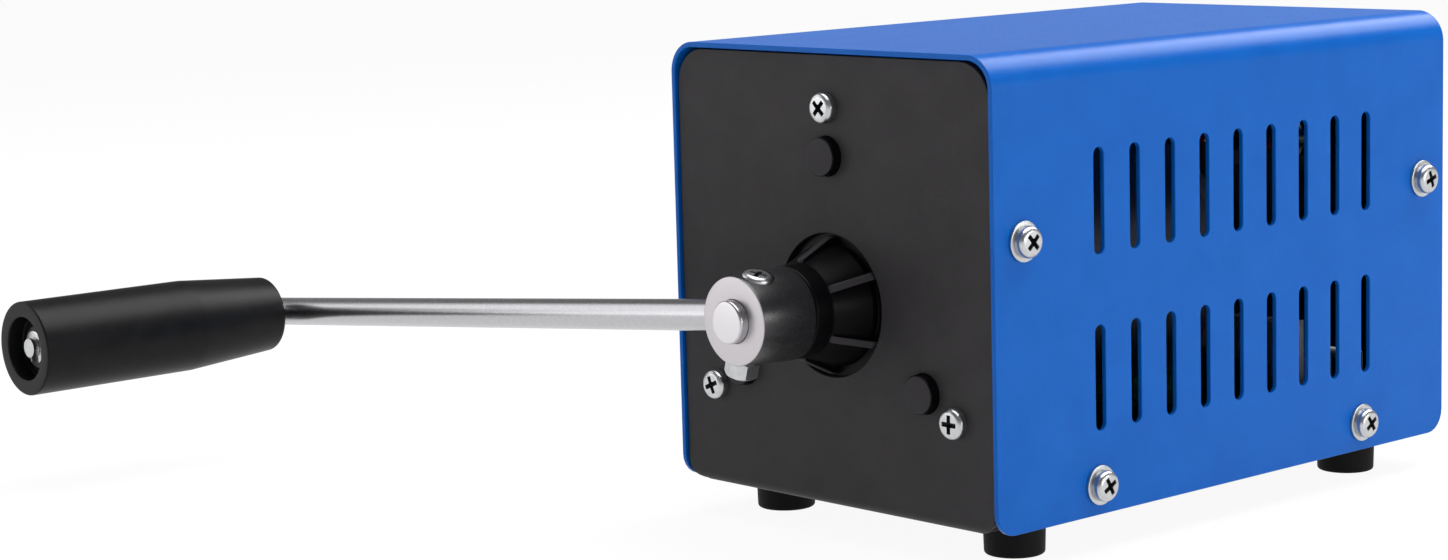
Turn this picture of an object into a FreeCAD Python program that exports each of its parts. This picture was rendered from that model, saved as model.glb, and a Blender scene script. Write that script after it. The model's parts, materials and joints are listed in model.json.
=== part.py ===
import FreeCAD, Part
import Sketcher
import math
import operator
import os

# Hand crank generator: a sheet-metal box holding a two-stage planetary gearbox, a three-phase generator and a
# charging board, with a crank on the front and the outlets at the back.
# X is right, the crank is at -Y, Z is up. The pieces are modelled round the middle of the box. Their files
# have the origin on the floor under the middle of the whole machine, crank and outlets included.

doc = FreeCAD.newDocument("HandCrankGenerator")
sheet = doc.addObject("Spreadsheet::Sheet", "Sizes")

SIZES = (
    # Box
    ("box_width", 85.0),
    ("box_depth", 133.0),
    ("box_height", 86.0),
    ("cover_wall", 1.0),
    ("cover_bend", 6.0),
    ("cover_corner", 4.5),
    ("cover_lift", 0.2),
    ("cover_gap", 0.3),
    ("sheet_wall", 1.2),
    ("sheet_bend", 1.0),
    ("plate_recess", 0.6),
    ("plate_top_corner", 7.0),
    ("plate_low_corner", 4.4),
    ("flange_length", 14.0),
    ("flange_height", 9.0),
    # Slots in the cover's sides
    ("slot_width", 2.8),
    ("slot_length", 19.6),
    ("slot_pitch", 9.92),
    ("slot_count", 9.0),
    ("slot_shift", 1.0),
    ("slot_low", 25.4),
    ("slot_row_step", 32.5),
    # Screws of the cover
    ("high_screw_y", 59.0),
    ("high_screw_z", 52.7),
    ("low_screw_y", 39.3),
    ("low_screw_z", 5.6),
    ("screw_radius", 1.45),
    ("thread_gap", 0.05),
    ("screw_head_radius", 2.9),
    ("screw_head_height", 2.0),
    ("screw_recess_depth", 1.2),
    ("screw_recess_width", 0.9),
    ("screw_recess_reach", 1.8),
    ("screw_recess_floor", 0.6),
    ("screw_head_round", 1.2),
    ("drill_runout", 1.0),
    ("washer_radius", 3.7),
    ("washer_thickness", 0.6),
    ("cover_screw_length", 6.0),
    # Feet
    ("foot_height", 6.8),
    ("foot_x", 30.75),
    ("foot_y", 49.75),
    ("foot_top_radius", 5.85),
    ("foot_low_radius", 5.65),
    ("foot_pocket_radius", 3.3),
    ("foot_pocket_depth", 4.2),
    # Gearbox housing
    ("axis_height", 45.1),
    ("plate_hole_radius", 13.55),
    ("ear_circle", 36.87),
    ("ear_radius", 5.0),
    ("ear_length", 10.0),
    ("ear_screw_length", 8.0),
    ("boss_circle", 27.87),
    ("boss_hole_radius", 3.75),
    ("boss_radius", 3.65),
    ("boss_proud", 2.0),
    ("housing_radius", 31.5),
    ("cap_thickness", 4.0),
    ("nose_reach", 11.5),
    ("nose_radius", 8.6),
    ("nose_body_radius", 8.9),
    ("nose_body_reach", 7.6),
    ("nose_base_radius", 11.6),
    ("nose_plate_gap", 0.55),
    ("rib_thickness", 1.5),
    ("rib_rise", 0.6),
    ("adapter_thickness", 4.0),
    ("gearbox_screw_grip", 3.0),
    # Bearings
    ("shaft_radius", 4.0),
    ("running_gap", 0.03),
    ("bush_wall", 2.0),
    ("bush_length", 10.0),
    ("ball_bearing_radius", 8.0),
    ("ball_bearing_width", 5.0),
    ("small_bearing_radius", 7.0),
    ("small_bearing_width", 5.0),
    ("shield_depth", 0.3),
    # Gears
    ("gear_module", 0.9),
    ("pressure_angle", 25.0),
    ("sun_teeth", 12.0),
    ("planet_teeth", 21.0),
    ("tooth_play", 0.12),
    ("first_gear_width", 12.0),
    ("second_gear_width", 8.0),
    ("first_carrier_thickness", 3.0),
    ("second_carrier_thickness", 2.6),
    ("carrier_rim", 5.2),
    ("gear_gap", 0.5),
    ("pin_radius", 2.5),
    ("pin_head_radius", 3.6),
    ("pin_head_height", 0.8),
    ("sun_stub_radius", 3.0),
    # Generator
    ("can_radius", 24.6),
    ("can_wall", 1.4),
    ("can_length", 40.0),
    ("bell_thickness", 4.0),
    ("bell_boss_radius", 8.4),
    ("bell_boss_reach", 3.0),
    ("bell_floor", 1.0),
    ("bell_shaft_gap", 0.6),
    ("rotor_shaft_radius", 2.5),
    ("stator_length", 25.0),
    ("stator_yoke", 3.0),
    ("stator_bore_radius", 13.6),
    ("stator_teeth", 12.0),
    ("stator_tooth_width", 3.6),
    ("stator_shoe_width", 6.0),
    ("stator_shoe_depth", 1.4),
    ("coil_wall", 1.6),
    ("coil_gap", 0.15),
    ("air_gap", 0.6),
    ("magnet_count", 8.0),
    ("magnet_thickness", 3.2),
    ("magnet_spacing", 4.0),
    ("bell_screw_circle", 16.0),
    ("bell_screw_length", 6.5),
    ("bell_screw_head_depth", 1.5),
    # Crank
    ("collar_gap", 0.3),
    ("collar_radius", 8.85),
    ("collar_front_radius", 8.2),
    ("collar_length", 12.4),
    ("collar_chamfer", 0.3),
    ("shaft_proud", 1.9),
    ("shaft_chamfer", 0.5),
    ("rod_radius", 3.0),
    ("rod_setback", 3.55),
    ("rod_drop_angle", 5.2),
    ("crank_radius", 160.0),
    ("rod_tail", 4.2),
    ("rod_seat", 2.2),
    ("bolt_setback", 8.3),
    ("bolt_tilt", 16.0),
    ("bolt_hole_gap", 0.15),
    ("bolt_seat", 6.9),
    ("bolt_tail", 0.6),
    ("nut_seat", 8.0),
    ("nut_flats", 5.5),
    ("nut_height", 3.2),
    # Grip
    ("grip_length", 60.0),
    ("grip_small_radius", 8.0),
    ("grip_knee_radius", 9.75),
    ("grip_knee", 21.5),
    ("grip_big_radius", 9.85),
    ("grip_chamfer", 1.3),
    ("grip_rim_chamfer", 0.4),
    ("grip_gap", 0.3),
    ("grip_bore_gap", 0.05),
    ("grip_recess_radius", 6.65),
    ("grip_recess_depth", 3.6),
    ("spindle_radius", 2.0),
    ("spindle_neck_radius", 1.5),
    ("spindle_flange_radius", 3.6),
    ("spindle_flange", 1.6),
    ("spindle_rivet_radius", 2.4),
    ("spindle_rivet_height", 0.7),
    ("spindle_sink", 1.1),
    ("grip_play", 0.1),
    ("clip_play", 0.05),
    ("clip_radius", 3.5),
    ("clip_thickness", 0.6),
    ("clip_groove", 0.5),
    ("clip_mouth", 2.7),
    ("grip_washer_radius", 4.4),
    ("grip_washer_thickness", 0.5),
    # Circuit board
    ("board_x", 34.0),
    ("board_front", 18.0),
    ("board_back_gap", 1.5),
    ("board_thickness", 1.6),
    ("standoff_height", 6.0),
    ("standoff_radius", 3.0),
    ("standoff_spigot_radius", 2.0),
    ("standoff_inset", 4.0),
    ("floor_screw_length", 5.5),
    ("part_bevel", 1.0),
    ("capacitor_radius", 6.5),
    ("capacitor_height", 24.0),
    ("inductor_radius", 7.0),
    ("inductor_hole", 3.6),
    ("inductor_height", 8.0),
    ("part_x", 23.0),
    ("part_y", 44.0),
    ("bridge_width", 14.0),
    ("bridge_height", 15.0),
    ("bridge_depth", 4.6),
    ("bridge_y", 31.0),
    ("sink_width", 16.0),
    ("sink_height", 17.0),
    ("sink_base", 2.0),
    ("sink_fin", 5.0),
    ("sink_fin_count", 5.0),
    ("regulator_width", 9.6),
    ("regulator_height", 9.0),
    ("regulator_depth", 3.0),
    ("terminal_width", 18.0),
    ("terminal_depth", 8.0),
    ("terminal_height", 10.0),
    ("terminal_collar", 1.0),
    ("terminal_y", 34.0),
    # Wires
    ("wire_radius", 0.9),
    ("phase_spacing", 5.0),
    ("phase_exit_drop", 11.5),
    ("post_wire_y", 46.0),
    # Outlets at the back
    ("post_spacing", 19.05),
    ("post_height", 66.0),
    ("post_base_radius", 7.0),
    ("post_base_reach", 3.0),
    ("post_spigot_radius", 4.0),
    ("post_flange_radius", 4.4),
    ("post_flange_reach", 1.2),
    ("post_radius", 3.0),
    ("post_reach", 20.0),
    ("post_bore_radius", 2.0),
    ("post_bore_depth", 12.0),
    ("post_wire_hole", 1.0),
    ("post_stem_radius", 2.0),
    ("post_stem_end", 56.0),
    ("post_cap_radius", 6.0),
    ("post_cap_length", 13.0),
    ("post_cap_gap", 0.06),
    ("post_cap_seat", 0.1),
    ("post_cap_flutes", 12.0),
    ("flute_radius", 0.9),
    ("flute_stop", 2.0),
    ("post_washer_thickness", 2.0),
    ("post_nut_flats", 7.0),
    ("post_nut_height", 3.2),
    ("socket_proud", 0.3),
    ("socket_hole_gap", 0.3),
    ("contact_setback", 1.0),
    ("dc_x", 17.0),
    ("dc_width", 9.0),
    ("dc_height", 11.0),
    ("dc_depth", 13.0),
    ("dc_axis_rise", 6.5),
    ("dc_barrel_radius", 4.2),
    ("dc_bore_radius", 3.1),
    ("dc_bore_depth", 9.5),
    ("dc_pin_radius", 1.0),
    ("usb_x", 17.0),
    ("usb_width", 13.2),
    ("usb_height", 5.8),
    ("usb_depth", 14.0),
    ("usb_shell", 0.35),
    ("usb_block", 3.5),
    ("usb_tongue", 1.84),
    ("usb_tongue_gap", 0.5),
    ("lamp_radius", 2.5),
    ("lamp_reach", 3.0),
    ("lamp_gap", 0.05),
    ("lamp_rim", 0.5),
    ("lamp_leg", 0.5),
    ("lamp_leg_setback", 2.0),
)

for row, (alias, number) in enumerate(SIZES, 1):
    sheet.set("A%d" % row, alias)
    sheet.set("B%d" % row, repr(number))
    sheet.setAlias("B%d" % row, alias)
doc.recompute()


# Sizes that remember where they come from

class Size(float):
    """A number worked out from the sheet, with the expression that gives it."""

    def __new__(cls, number, text):
        made = super().__new__(cls, number)
        made.text = text
        return made

    def __neg__(self):
        return Size(-float(self), "(-%s)" % self.text)


def as_text(number):
    return number.text if isinstance(number, Size) else repr(float(number))


def size_operator(sign, work):
    """The two methods that join a size with a number on its right or its left."""
    def forward(one, other):
        return Size(work(float(one), float(other)), "(%s %s %s)" % (as_text(one), sign, as_text(other)))

    def backward(one, other):
        return Size(work(float(other), float(one)), "(%s %s %s)" % (as_text(other), sign, as_text(one)))
    return forward, backward


for word, sign, work in (("add", "+", operator.add), ("sub", "-", operator.sub),
                         ("mul", "*", operator.mul), ("truediv", "/", operator.truediv)):
    forward, backward = size_operator(sign, work)
    setattr(Size, "__%s__" % word, forward)
    setattr(Size, "__r%s__" % word, backward)


class SheetReader:
    """Gives each alias of the sheet as a Size."""

    def __getattr__(self, alias):
        return Size(sheet.get(alias), "Sizes.%s" % alias)


s = SheetReader()


def bind(thing, path, number):
    """Sets a property, and ties it to the sheet when the number comes from there."""
    if isinstance(number, Size):
        thing.setExpression(path, number.text)
    elif "." not in path:
        setattr(thing, path, number)


# Building with bodies and sketches

def new_body(label, z=0.0, x=0.0, y=0.0):
    body = doc.addObject("PartDesign::Body", label)
    body.Label = label
    body.Placement.Base = FreeCAD.Vector(float(x), float(y), float(z))
    for axis, number in (("x", x), ("y", y), ("z", z)):
        bind(body, "Placement.Base." + axis, number)
    return body


def new_sketch(body, role, offset=0.0):
    sketch = body.newObject("Sketcher::SketchObject", body.Label + "_sketch")
    plane = [feature for feature in body.Origin.OriginFeatures if feature.Role == role][0]
    sketch.AttachmentSupport = (plane, [""])
    sketch.MapMode = "FlatFace"
    bind(sketch, "AttachmentOffset.Base.z", offset)
    return sketch


def hold_point(sketch, geometry, place, x, y):
    """Ties one point of the sketch to its two coordinates."""
    for kind, number in (("DistanceX", x), ("DistanceY", y)):
        index = sketch.addConstraint(Sketcher.Constraint(kind, -1, 1, geometry, place, float(number)))
        if isinstance(number, Size):
            sketch.setExpression("Constraints[%d]" % index, number.text)


def outline(sketch, points):
    """Closed outline with straight sides through the points."""
    first = sketch.GeometryCount
    count = len(points)
    corners = [FreeCAD.Vector(float(x), float(y), 0) for x, y in points]
    sides = [Part.LineSegment(corners[i], corners[(i + 1) % count]) for i in range(count)]
    sketch.addGeometry(sides, False)
    for i in range(count):
        sketch.addConstraint(Sketcher.Constraint("Coincident", first + i, 2, first + (i + 1) % count, 1))
    for i, (x, y) in enumerate(points):
        hold_point(sketch, first + i, 1, x, y)


def circle(sketch, x, y, radius):
    index = sketch.GeometryCount
    centre = FreeCAD.Vector(float(x), float(y), 0)
    sketch.addGeometry(Part.Circle(centre, FreeCAD.Vector(0, 0, 1), float(radius)), False)
    hold_point(sketch, index, 3, x, y)
    constraint = sketch.addConstraint(Sketcher.Constraint("Radius", index, float(radius)))
    if isinstance(radius, Size):
        sketch.setExpression("Constraints[%d]" % constraint, radius.text)


def rectangle(sketch, left, right, low, high):
    outline(sketch, ((left, low), (right, low), (right, high), (left, high)))


def slot(sketch, x, y, length, width):
    """Upright slot with round ends, its centre at x, y."""
    first = sketch.GeometryCount
    radius = width / 2
    reach = (length - width) / 2
    up = FreeCAD.Vector(float(x), float(y + reach), 0)
    down = FreeCAD.Vector(float(x), float(y - reach), 0)
    side = FreeCAD.Vector(float(radius), 0, 0)
    normal = FreeCAD.Vector(0, 0, 1)
    sketch.addGeometry([
        Part.ArcOfCircle(Part.Circle(up, normal, float(radius)), 0, math.pi),
        Part.LineSegment(up - side, down - side),
        Part.ArcOfCircle(Part.Circle(down, normal, float(radius)), math.pi, 2 * math.pi),
        Part.LineSegment(down + side, up + side)], False)
    for i in range(4):
        sketch.addConstraint(Sketcher.Constraint("Tangent", first + i, 2, first + (i + 1) % 4, 1))
    hold_point(sketch, first, 3, x, y + reach)
    hold_point(sketch, first + 2, 3, x, y - reach)
    constraint = sketch.addConstraint(Sketcher.Constraint("Radius", first, float(radius)))
    sketch.setExpression("Constraints[%d]" % constraint, radius.text)


def pad(body, sketch, length, both_sides=False, flipped=False):
    feature = body.newObject("PartDesign::Pad", body.Label + "_pad")
    feature.Profile = sketch
    feature.SideType = "Symmetric" if both_sides else "One side"
    feature.Reversed = flipped
    bind(feature, "Length", length)
    doc.recompute()
    return feature


def pocket(body, sketch, depth=None, flipped=False):
    """Cuts the sketch out, to a depth, or right through both ways when none is given."""
    before = body.Shape.Volume
    feature = body.newObject("PartDesign::Pocket", body.Label + "_pocket")
    feature.Profile = sketch
    if depth is None:
        feature.Type = "ThroughAll"
        feature.SideType = "Symmetric"
    else:
        feature.Reversed = flipped
        bind(feature, "Length", depth)
    doc.recompute()
    if body.Shape.Volume > before - 1e-4:
        raise ValueError("a pocket of %s cut nothing" % body.Label)
    return feature


def dress(body, kind, size_name, size, wanted):
    """Fillet or chamfer on the edges of the body that pass a test."""
    base = body.Tip
    names = ["Edge%d" % i for i, edge in enumerate(base.Shape.Edges, 1) if wanted(edge)]
    feature = body.newObject("PartDesign::" + kind, body.Label + "_" + kind.lower())
    feature.Base = (base, names)
    bind(feature, size_name, size)
    doc.recompute()
    return feature


def revolve(body, sketch, axis):
    feature = body.newObject("PartDesign::Revolution", body.Label + "_turn")
    feature.Profile = sketch
    feature.ReferenceAxis = (sketch, [axis])
    feature.Angle = 360.0
    doc.recompute()
    return feature


def turned(label, points, z=None, x=0.0, y=0.0):
    """Piece turned about its own Y axis, from (place along the axis, radius) points."""
    body = new_body(label, s.axis_height if z is None else z, x, y)
    sketch = new_sketch(body, "YZ_Plane")
    outline(sketch, points)
    revolve(body, sketch, "H_Axis")
    return body


def turned_upright(label, points, x=0.0, y=0.0, z=0.0):
    """Piece turned about its own Z axis, from (radius, height) points."""
    body = new_body(label, z, x, y)
    sketch = new_sketch(body, "XZ_Plane")
    outline(sketch, points)
    revolve(body, sketch, "V_Axis")
    return body


def box_body(label, low, high):
    """Block between two corners."""
    body = new_body(label)
    sketch = new_sketch(body, "XY_Plane", low[2])
    rectangle(sketch, low[0], high[0], low[1], high[1])
    pad(body, sketch, high[2] - low[2])
    return body


def feature(label, shape, placement=None):
    """Piece whose shape comes from a formula."""
    made = doc.addObject("Part::Feature", label)
    made.Label = label
    made.Shape = shape
    if placement is not None:
        made.Placement = placement
    return made


def runs_along(edge, direction):
    """True for a straight edge along X, Y or Z."""
    if edge.Curve.TypeId != "Part::GeomLine":
        return False
    return abs(abs(getattr(edge.Curve.Direction, direction)) - 1) < 1e-6


def edge_middle(edge):
    return edge.valueAt((edge.FirstParameter + edge.LastParameter) / 2)


# Places along the machine's axis, front to back

half_width = s.box_width / 2
half_depth = s.box_depth / 2
floor_low = s.foot_height
floor_top = floor_low + s.sheet_wall
cover_low = floor_low + s.cover_lift
cover_top = cover_low + s.box_height
plate_x = half_width - s.cover_wall - s.cover_gap
plate_top = cover_top - s.cover_wall - s.cover_gap
wall_y = half_depth - s.plate_recess
wall_inner = wall_y - s.sheet_wall

nose_front = -wall_y - s.nose_reach
cap_front = -wall_inner
cap_back = cap_front + s.cap_thickness
collar_back = nose_front - s.collar_gap
collar_front = collar_back - s.collar_length
shaft_front = collar_front - s.shaft_proud
rod_y = collar_back - s.rod_setback
bolt_y = collar_back - s.bolt_setback

first_carrier_front = cap_back + s.gear_gap
first_carrier_back = first_carrier_front + s.first_carrier_thickness
first_gear_front = first_carrier_back + s.gear_gap
first_gear_back = first_gear_front + s.first_gear_width
first_pin_end = first_gear_back + s.pin_head_height
second_carrier_front = first_pin_end + s.gear_gap
second_carrier_back = second_carrier_front + s.second_carrier_thickness
second_gear_front = second_carrier_back + s.gear_gap
second_gear_back = second_gear_front + s.second_gear_width
second_pin_end = second_gear_back + s.pin_head_height
ring_back = second_pin_end + s.gear_gap
adapter_back = ring_back + s.adapter_thickness
bell_back = adapter_back + s.bell_thickness
can_back = bell_back + s.can_length
rear_bell_back = can_back + s.bell_thickness

ring_teeth = s.sun_teeth + s.planet_teeth * 2
gear_centres = s.gear_module * (s.sun_teeth + s.planet_teeth) / 2
TRIO = (90, 210, 330)


def around(radius, degrees):
    """X and Z of a point on a circle about the shaft."""
    angle = math.radians(degrees)
    return radius * math.cos(angle), radius * math.sin(angle)


def sine(angle):
    return Size(math.sin(math.radians(angle)), "sin(%s * 1 deg)" % as_text(angle))


def cosine(angle):
    return Size(math.cos(math.radians(angle)), "cos(%s * 1 deg)" % as_text(angle))


# Fasteners

def y_cylinder(radius, start, end, x=0.0, z=0.0):
    base = FreeCAD.Vector(float(x), float(start), float(z))
    return Part.makeCylinder(float(radius), float(end - start), base, FreeCAD.Vector(0, 1, 0))


def cross_recess(head_top):
    """Tapered cross cut into a screw head, whose top is at this height."""
    depth = float(s.screw_recess_depth)
    arm = float(s.screw_recess_reach)
    half = float(s.screw_recess_width) / 2
    floor = float(s.screw_recess_floor) / 2
    runout = float(s.drill_runout) / 4
    cutters = []
    for across, along in ((half, arm), (arm, half)):
        top = Part.makePolygon([FreeCAD.Vector(sx * across, sy * along, head_top + runout)
                                for sx, sy in ((-1, -1), (1, -1), (1, 1), (-1, 1), (-1, -1))])
        low = Part.makePolygon([FreeCAD.Vector(sx * floor, sy * floor, head_top - depth)
                                for sx, sy in ((-1, -1), (1, -1), (1, 1), (-1, 1), (-1, -1))])
        cutters.append(Part.makeLoft([top, low], True, True))
    return cutters


def pan_screw(length):
    """Pan-head screw pointing down, with the underside of its head at zero."""
    head = Part.makeCylinder(float(s.screw_head_radius), float(s.screw_head_height))
    head = head.makeFillet(float(s.screw_head_round), [head.Edges[0]])
    shank = Part.makeCylinder(float(s.screw_radius), float(length), FreeCAD.Vector(0, 0, -float(length)))
    return head.fuse(shank).cut(cross_recess(float(s.screw_head_height))).removeSplitter()


def washer(thickness):
    ring = Part.makeCylinder(float(s.washer_radius), float(thickness))
    return ring.cut(Part.makeCylinder(float(s.screw_radius + s.thread_gap), float(thickness)))


def hex_nut(flats, height, hole):
    """Nut standing on zero, its hole along Z."""
    corner = float(flats) / math.sqrt(3)
    points = [FreeCAD.Vector(*(corner * f(math.radians(60 * i)) for f in (math.cos, math.sin)), 0)
              for i in range(7)]
    block = Part.Face(Part.makePolygon(points)).extrude(FreeCAD.Vector(0, 0, float(height)))
    return block.cut(Part.makeCylinder(float(hole), float(height)))


def facing(x, y, z, direction):
    """Placement that sends a shape's own Z towards a direction."""
    turn = FreeCAD.Rotation(FreeCAD.Vector(0, 0, 1), FreeCAD.Vector(*direction))
    return FreeCAD.Placement(FreeCAD.Vector(float(x), float(y), float(z)), turn)


def copies(label, shape, placements):
    """One node with the same solid at several places."""
    solids = []
    for placement in placements:
        solid = shape.copy()
        solid.Placement = placement.multiply(solid.Placement)
        solids.append(solid)
    return feature(label, Part.makeCompound(solids))


# Sheet-metal chassis: front plate, floor and rear wall in one bent piece

def make_chassis():
    body = new_body("chassis")
    profile = new_sketch(body, "YZ_Plane")
    outline(profile, ((-wall_y, plate_top), (-wall_y, floor_low), (wall_y, floor_low), (wall_y, plate_top),
                      (wall_inner, plate_top), (wall_inner, floor_top), (-wall_inner, floor_top),
                      (-wall_inner, plate_top)))
    pad(body, profile, plate_x * 2, both_sides=True)
    bends = ((floor_low, wall_y, s.sheet_bend + s.sheet_wall), (floor_top, wall_inner, s.sheet_bend))
    for height, place, radius in bends:
        dress(body, "Fillet", "Radius", radius,
              lambda edge: runs_along(edge, "x") and abs(edge_middle(edge).z - height) < 1e-4
              and abs(abs(edge_middle(edge).y) - place) < 1e-4)
    dress(body, "Fillet", "Radius", s.plate_top_corner,
          lambda edge: runs_along(edge, "y") and abs(edge_middle(edge).z - plate_top) < 1e-4)
    relief = new_sketch(body, "XZ_Plane", wall_y)
    for side in (-1, 1):
        low_corner(relief, side)
    pocket(body, relief, wall_y - s.foot_y - s.foot_top_radius - s.sheet_bend)
    relief = new_sketch(body, "XZ_Plane", -wall_y)
    for side in (-1, 1):
        low_corner(relief, side)
    pocket(body, relief, wall_y - s.foot_y - s.foot_top_radius - s.sheet_bend, flipped=True)
    for side in (-1, 1):
        side_flanges(body, side)
    holes = new_sketch(body, "YZ_Plane")
    for y in (-1, 1):
        circle(holes, y * s.high_screw_y, cover_low + s.high_screw_z, s.screw_radius + s.thread_gap)
        circle(holes, y * s.low_screw_y, cover_low + s.low_screw_z, s.screw_radius + s.thread_gap)
    pocket(body, holes)
    front = new_sketch(body, "XZ_Plane", wall_y)
    circle(front, 0.0, s.axis_height, s.plate_hole_radius)
    holes_on_rings = ((s.ear_circle, s.screw_radius + s.thread_gap), (s.boss_circle, s.boss_hole_radius))
    for degrees in TRIO:
        for ring, radius in holes_on_rings:
            x, z = around(ring, degrees)
            circle(front, x, s.axis_height + z, radius)
    pocket(body, front, s.sheet_wall)
    rear = new_sketch(body, "XZ_Plane", -wall_y)
    for side in (-1, 1):
        circle(rear, side * s.post_spacing / 2, s.post_height, s.post_spigot_radius)
    circle(rear, -s.dc_x, socket_z, s.dc_barrel_radius + s.socket_hole_gap)
    circle(rear, 0.0, socket_z, s.lamp_radius + s.lamp_gap)
    usb_half = s.usb_width / 2 + s.socket_hole_gap
    rectangle(rear, s.usb_x - usb_half, s.usb_x + usb_half,
              board_top - s.socket_hole_gap, board_top + s.usb_height + s.socket_hole_gap)
    pocket(body, rear, s.sheet_wall, flipped=True)
    floor = new_sketch(body, "XY_Plane", floor_low)
    for x in (-1, 1):
        for y in (-1, 1):
            circle(floor, x * s.foot_x, y * s.foot_y, s.screw_radius + s.thread_gap)
        for y in (board_screw_front, board_screw_back):
            circle(floor, x * board_screw_x, y, s.standoff_spigot_radius)
    pocket(body, floor, s.sheet_wall, flipped=True)


def low_corner(sketch, side):
    """Outline of the piece that rounds a lower corner: two straight sides and a hollow arc."""
    first = sketch.GeometryCount
    radius = s.plate_low_corner
    x = side * plate_x
    near_x = x - side * radius
    near_z = floor_low + radius
    below = FreeCAD.Vector(float(near_x), float(floor_low), 0)
    corner = FreeCAD.Vector(float(x), float(floor_low), 0)
    beside = FreeCAD.Vector(float(x), float(near_z), 0)
    centre = FreeCAD.Vector(float(near_x), float(near_z), 0)
    start = 1.5 * math.pi if side > 0 else math.pi
    whole = Part.Circle(centre, FreeCAD.Vector(0, 0, 1), float(radius))
    arc = Part.ArcOfCircle(whole, start, start + math.pi / 2)
    sketch.addGeometry([Part.LineSegment(below, corner), Part.LineSegment(corner, beside), arc], False)
    arc_below, arc_beside = (1, 2) if side > 0 else (2, 1)
    sketch.addConstraint([Sketcher.Constraint("Coincident", first, 2, first + 1, 1),
                          Sketcher.Constraint("Coincident", first + 1, 2, first + 2, arc_beside),
                          Sketcher.Constraint("Coincident", first, 1, first + 2, arc_below)])
    hold_point(sketch, first, 1, near_x, floor_low)
    hold_point(sketch, first + 1, 1, x, floor_low)
    hold_point(sketch, first + 1, 2, x, near_z)
    index = sketch.addConstraint(Sketcher.Constraint("Radius", first + 2, float(radius)))
    sketch.setExpression("Constraints[%d]" % index, radius.text)


def side_flanges(body, side):
    """Tabs that the cover's screws go into: one behind each wall and two up from the floor."""
    plane = side * plate_x
    high = cover_low + s.high_screw_z
    for end in (-1, 1):
        tabs = new_sketch(body, "YZ_Plane", plane)
        near, far = end * (wall_inner - s.flange_length), end * wall_inner
        rectangle(tabs, near, far, high - s.flange_height, high + s.flange_height)
        pad(body, tabs, s.sheet_wall, flipped=side > 0)
        tabs = new_sketch(body, "YZ_Plane", plane)
        middle = end * s.low_screw_y
        rectangle(tabs, middle - s.flange_length / 2, middle + s.flange_length / 2,
                  floor_low, cover_low + s.low_screw_z + s.flange_height / 2)
        pad(body, tabs, s.sheet_wall, flipped=side > 0)


# Cover: a sheet bent down both sides, slotted for air

def make_cover():
    body = new_body("cover")
    inner_x = half_width - s.cover_wall
    inner_top = cover_top - s.cover_wall
    profile = new_sketch(body, "XZ_Plane")
    outline(profile, ((-half_width, cover_low), (-half_width, cover_top), (half_width, cover_top),
                      (half_width, cover_low), (inner_x, cover_low), (inner_x, inner_top),
                      (-inner_x, inner_top), (-inner_x, cover_low)))
    pad(body, profile, s.box_depth, both_sides=True)
    for height, place, radius in ((cover_top, half_width, s.cover_bend),
                                  (inner_top, inner_x, s.cover_bend - s.cover_wall)):
        dress(body, "Fillet", "Radius", radius,
              lambda edge: runs_along(edge, "y") and abs(edge_middle(edge).z - height) < 1e-4
              and abs(abs(edge_middle(edge).x) - place) < 1e-4)
    dress(body, "Fillet", "Radius", s.cover_corner,
          lambda edge: runs_along(edge, "x") and abs(edge_middle(edge).z - cover_low) < 1e-4)
    first_slot = new_sketch(body, "YZ_Plane")
    run = (s.slot_count - 1) * s.slot_pitch
    slot(first_slot, s.slot_shift - run / 2, cover_low + s.slot_low, s.slot_length, s.slot_width)
    cut = pocket(body, first_slot)
    pattern = body.newObject("PartDesign::LinearPattern", "cover_slots")
    pattern.Originals = [cut]
    pattern.Direction = (first_slot, ["H_Axis"])
    bind(pattern, "Length", run)
    bind(pattern, "Occurrences", s.slot_count)
    pattern.Direction2 = (first_slot, ["V_Axis"])
    bind(pattern, "Length2", s.slot_row_step)
    pattern.Occurrences2 = 2
    body.Tip = pattern
    doc.recompute()
    holes = new_sketch(body, "YZ_Plane")
    for side in (-1, 1):
        circle(holes, side * s.high_screw_y, cover_low + s.high_screw_z, s.screw_radius + s.thread_gap)
        circle(holes, side * s.low_screw_y, cover_low + s.low_screw_z, s.screw_radius + s.thread_gap)
    pocket(body, holes)


def make_cover_screws():
    places = []
    for side in (-1, 1):
        for end in (-1, 1):
            for y, z in ((s.high_screw_y, s.high_screw_z), (s.low_screw_y, s.low_screw_z)):
                places.append((side, end * y, cover_low + z))
    copies("cover_washers", washer(s.washer_thickness),
           [facing(side * half_width, y, z, (side, 0, 0)) for side, y, z in places])
    copies("cover_screws", pan_screw(s.cover_screw_length),
           [facing(side * (half_width + s.washer_thickness), y, z, (side, 0, 0)) for side, y, z in places])


# Rubber feet, each with a screw up into the floor

def make_feet():
    names = {-1: "front", 1: "back"}
    sides = {-1: "left", 1: "right"}
    places = []
    hole = s.screw_radius + s.thread_gap
    for x in (-1, 1):
        for y in (-1, 1):
            turned_upright("foot_%s_%s" % (names[y], sides[x]), (
                (hole, s.foot_height), (s.foot_top_radius, s.foot_height),
                (s.foot_low_radius, 0.0), (s.foot_pocket_radius, 0.0),
                (s.foot_pocket_radius, s.foot_pocket_depth), (hole, s.foot_pocket_depth)),
                x * s.foot_x, y * s.foot_y)
            places.append(facing(x * s.foot_x, y * s.foot_y, s.foot_pocket_depth, (0, 0, -1)))
    return places


# Gearbox housing

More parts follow.
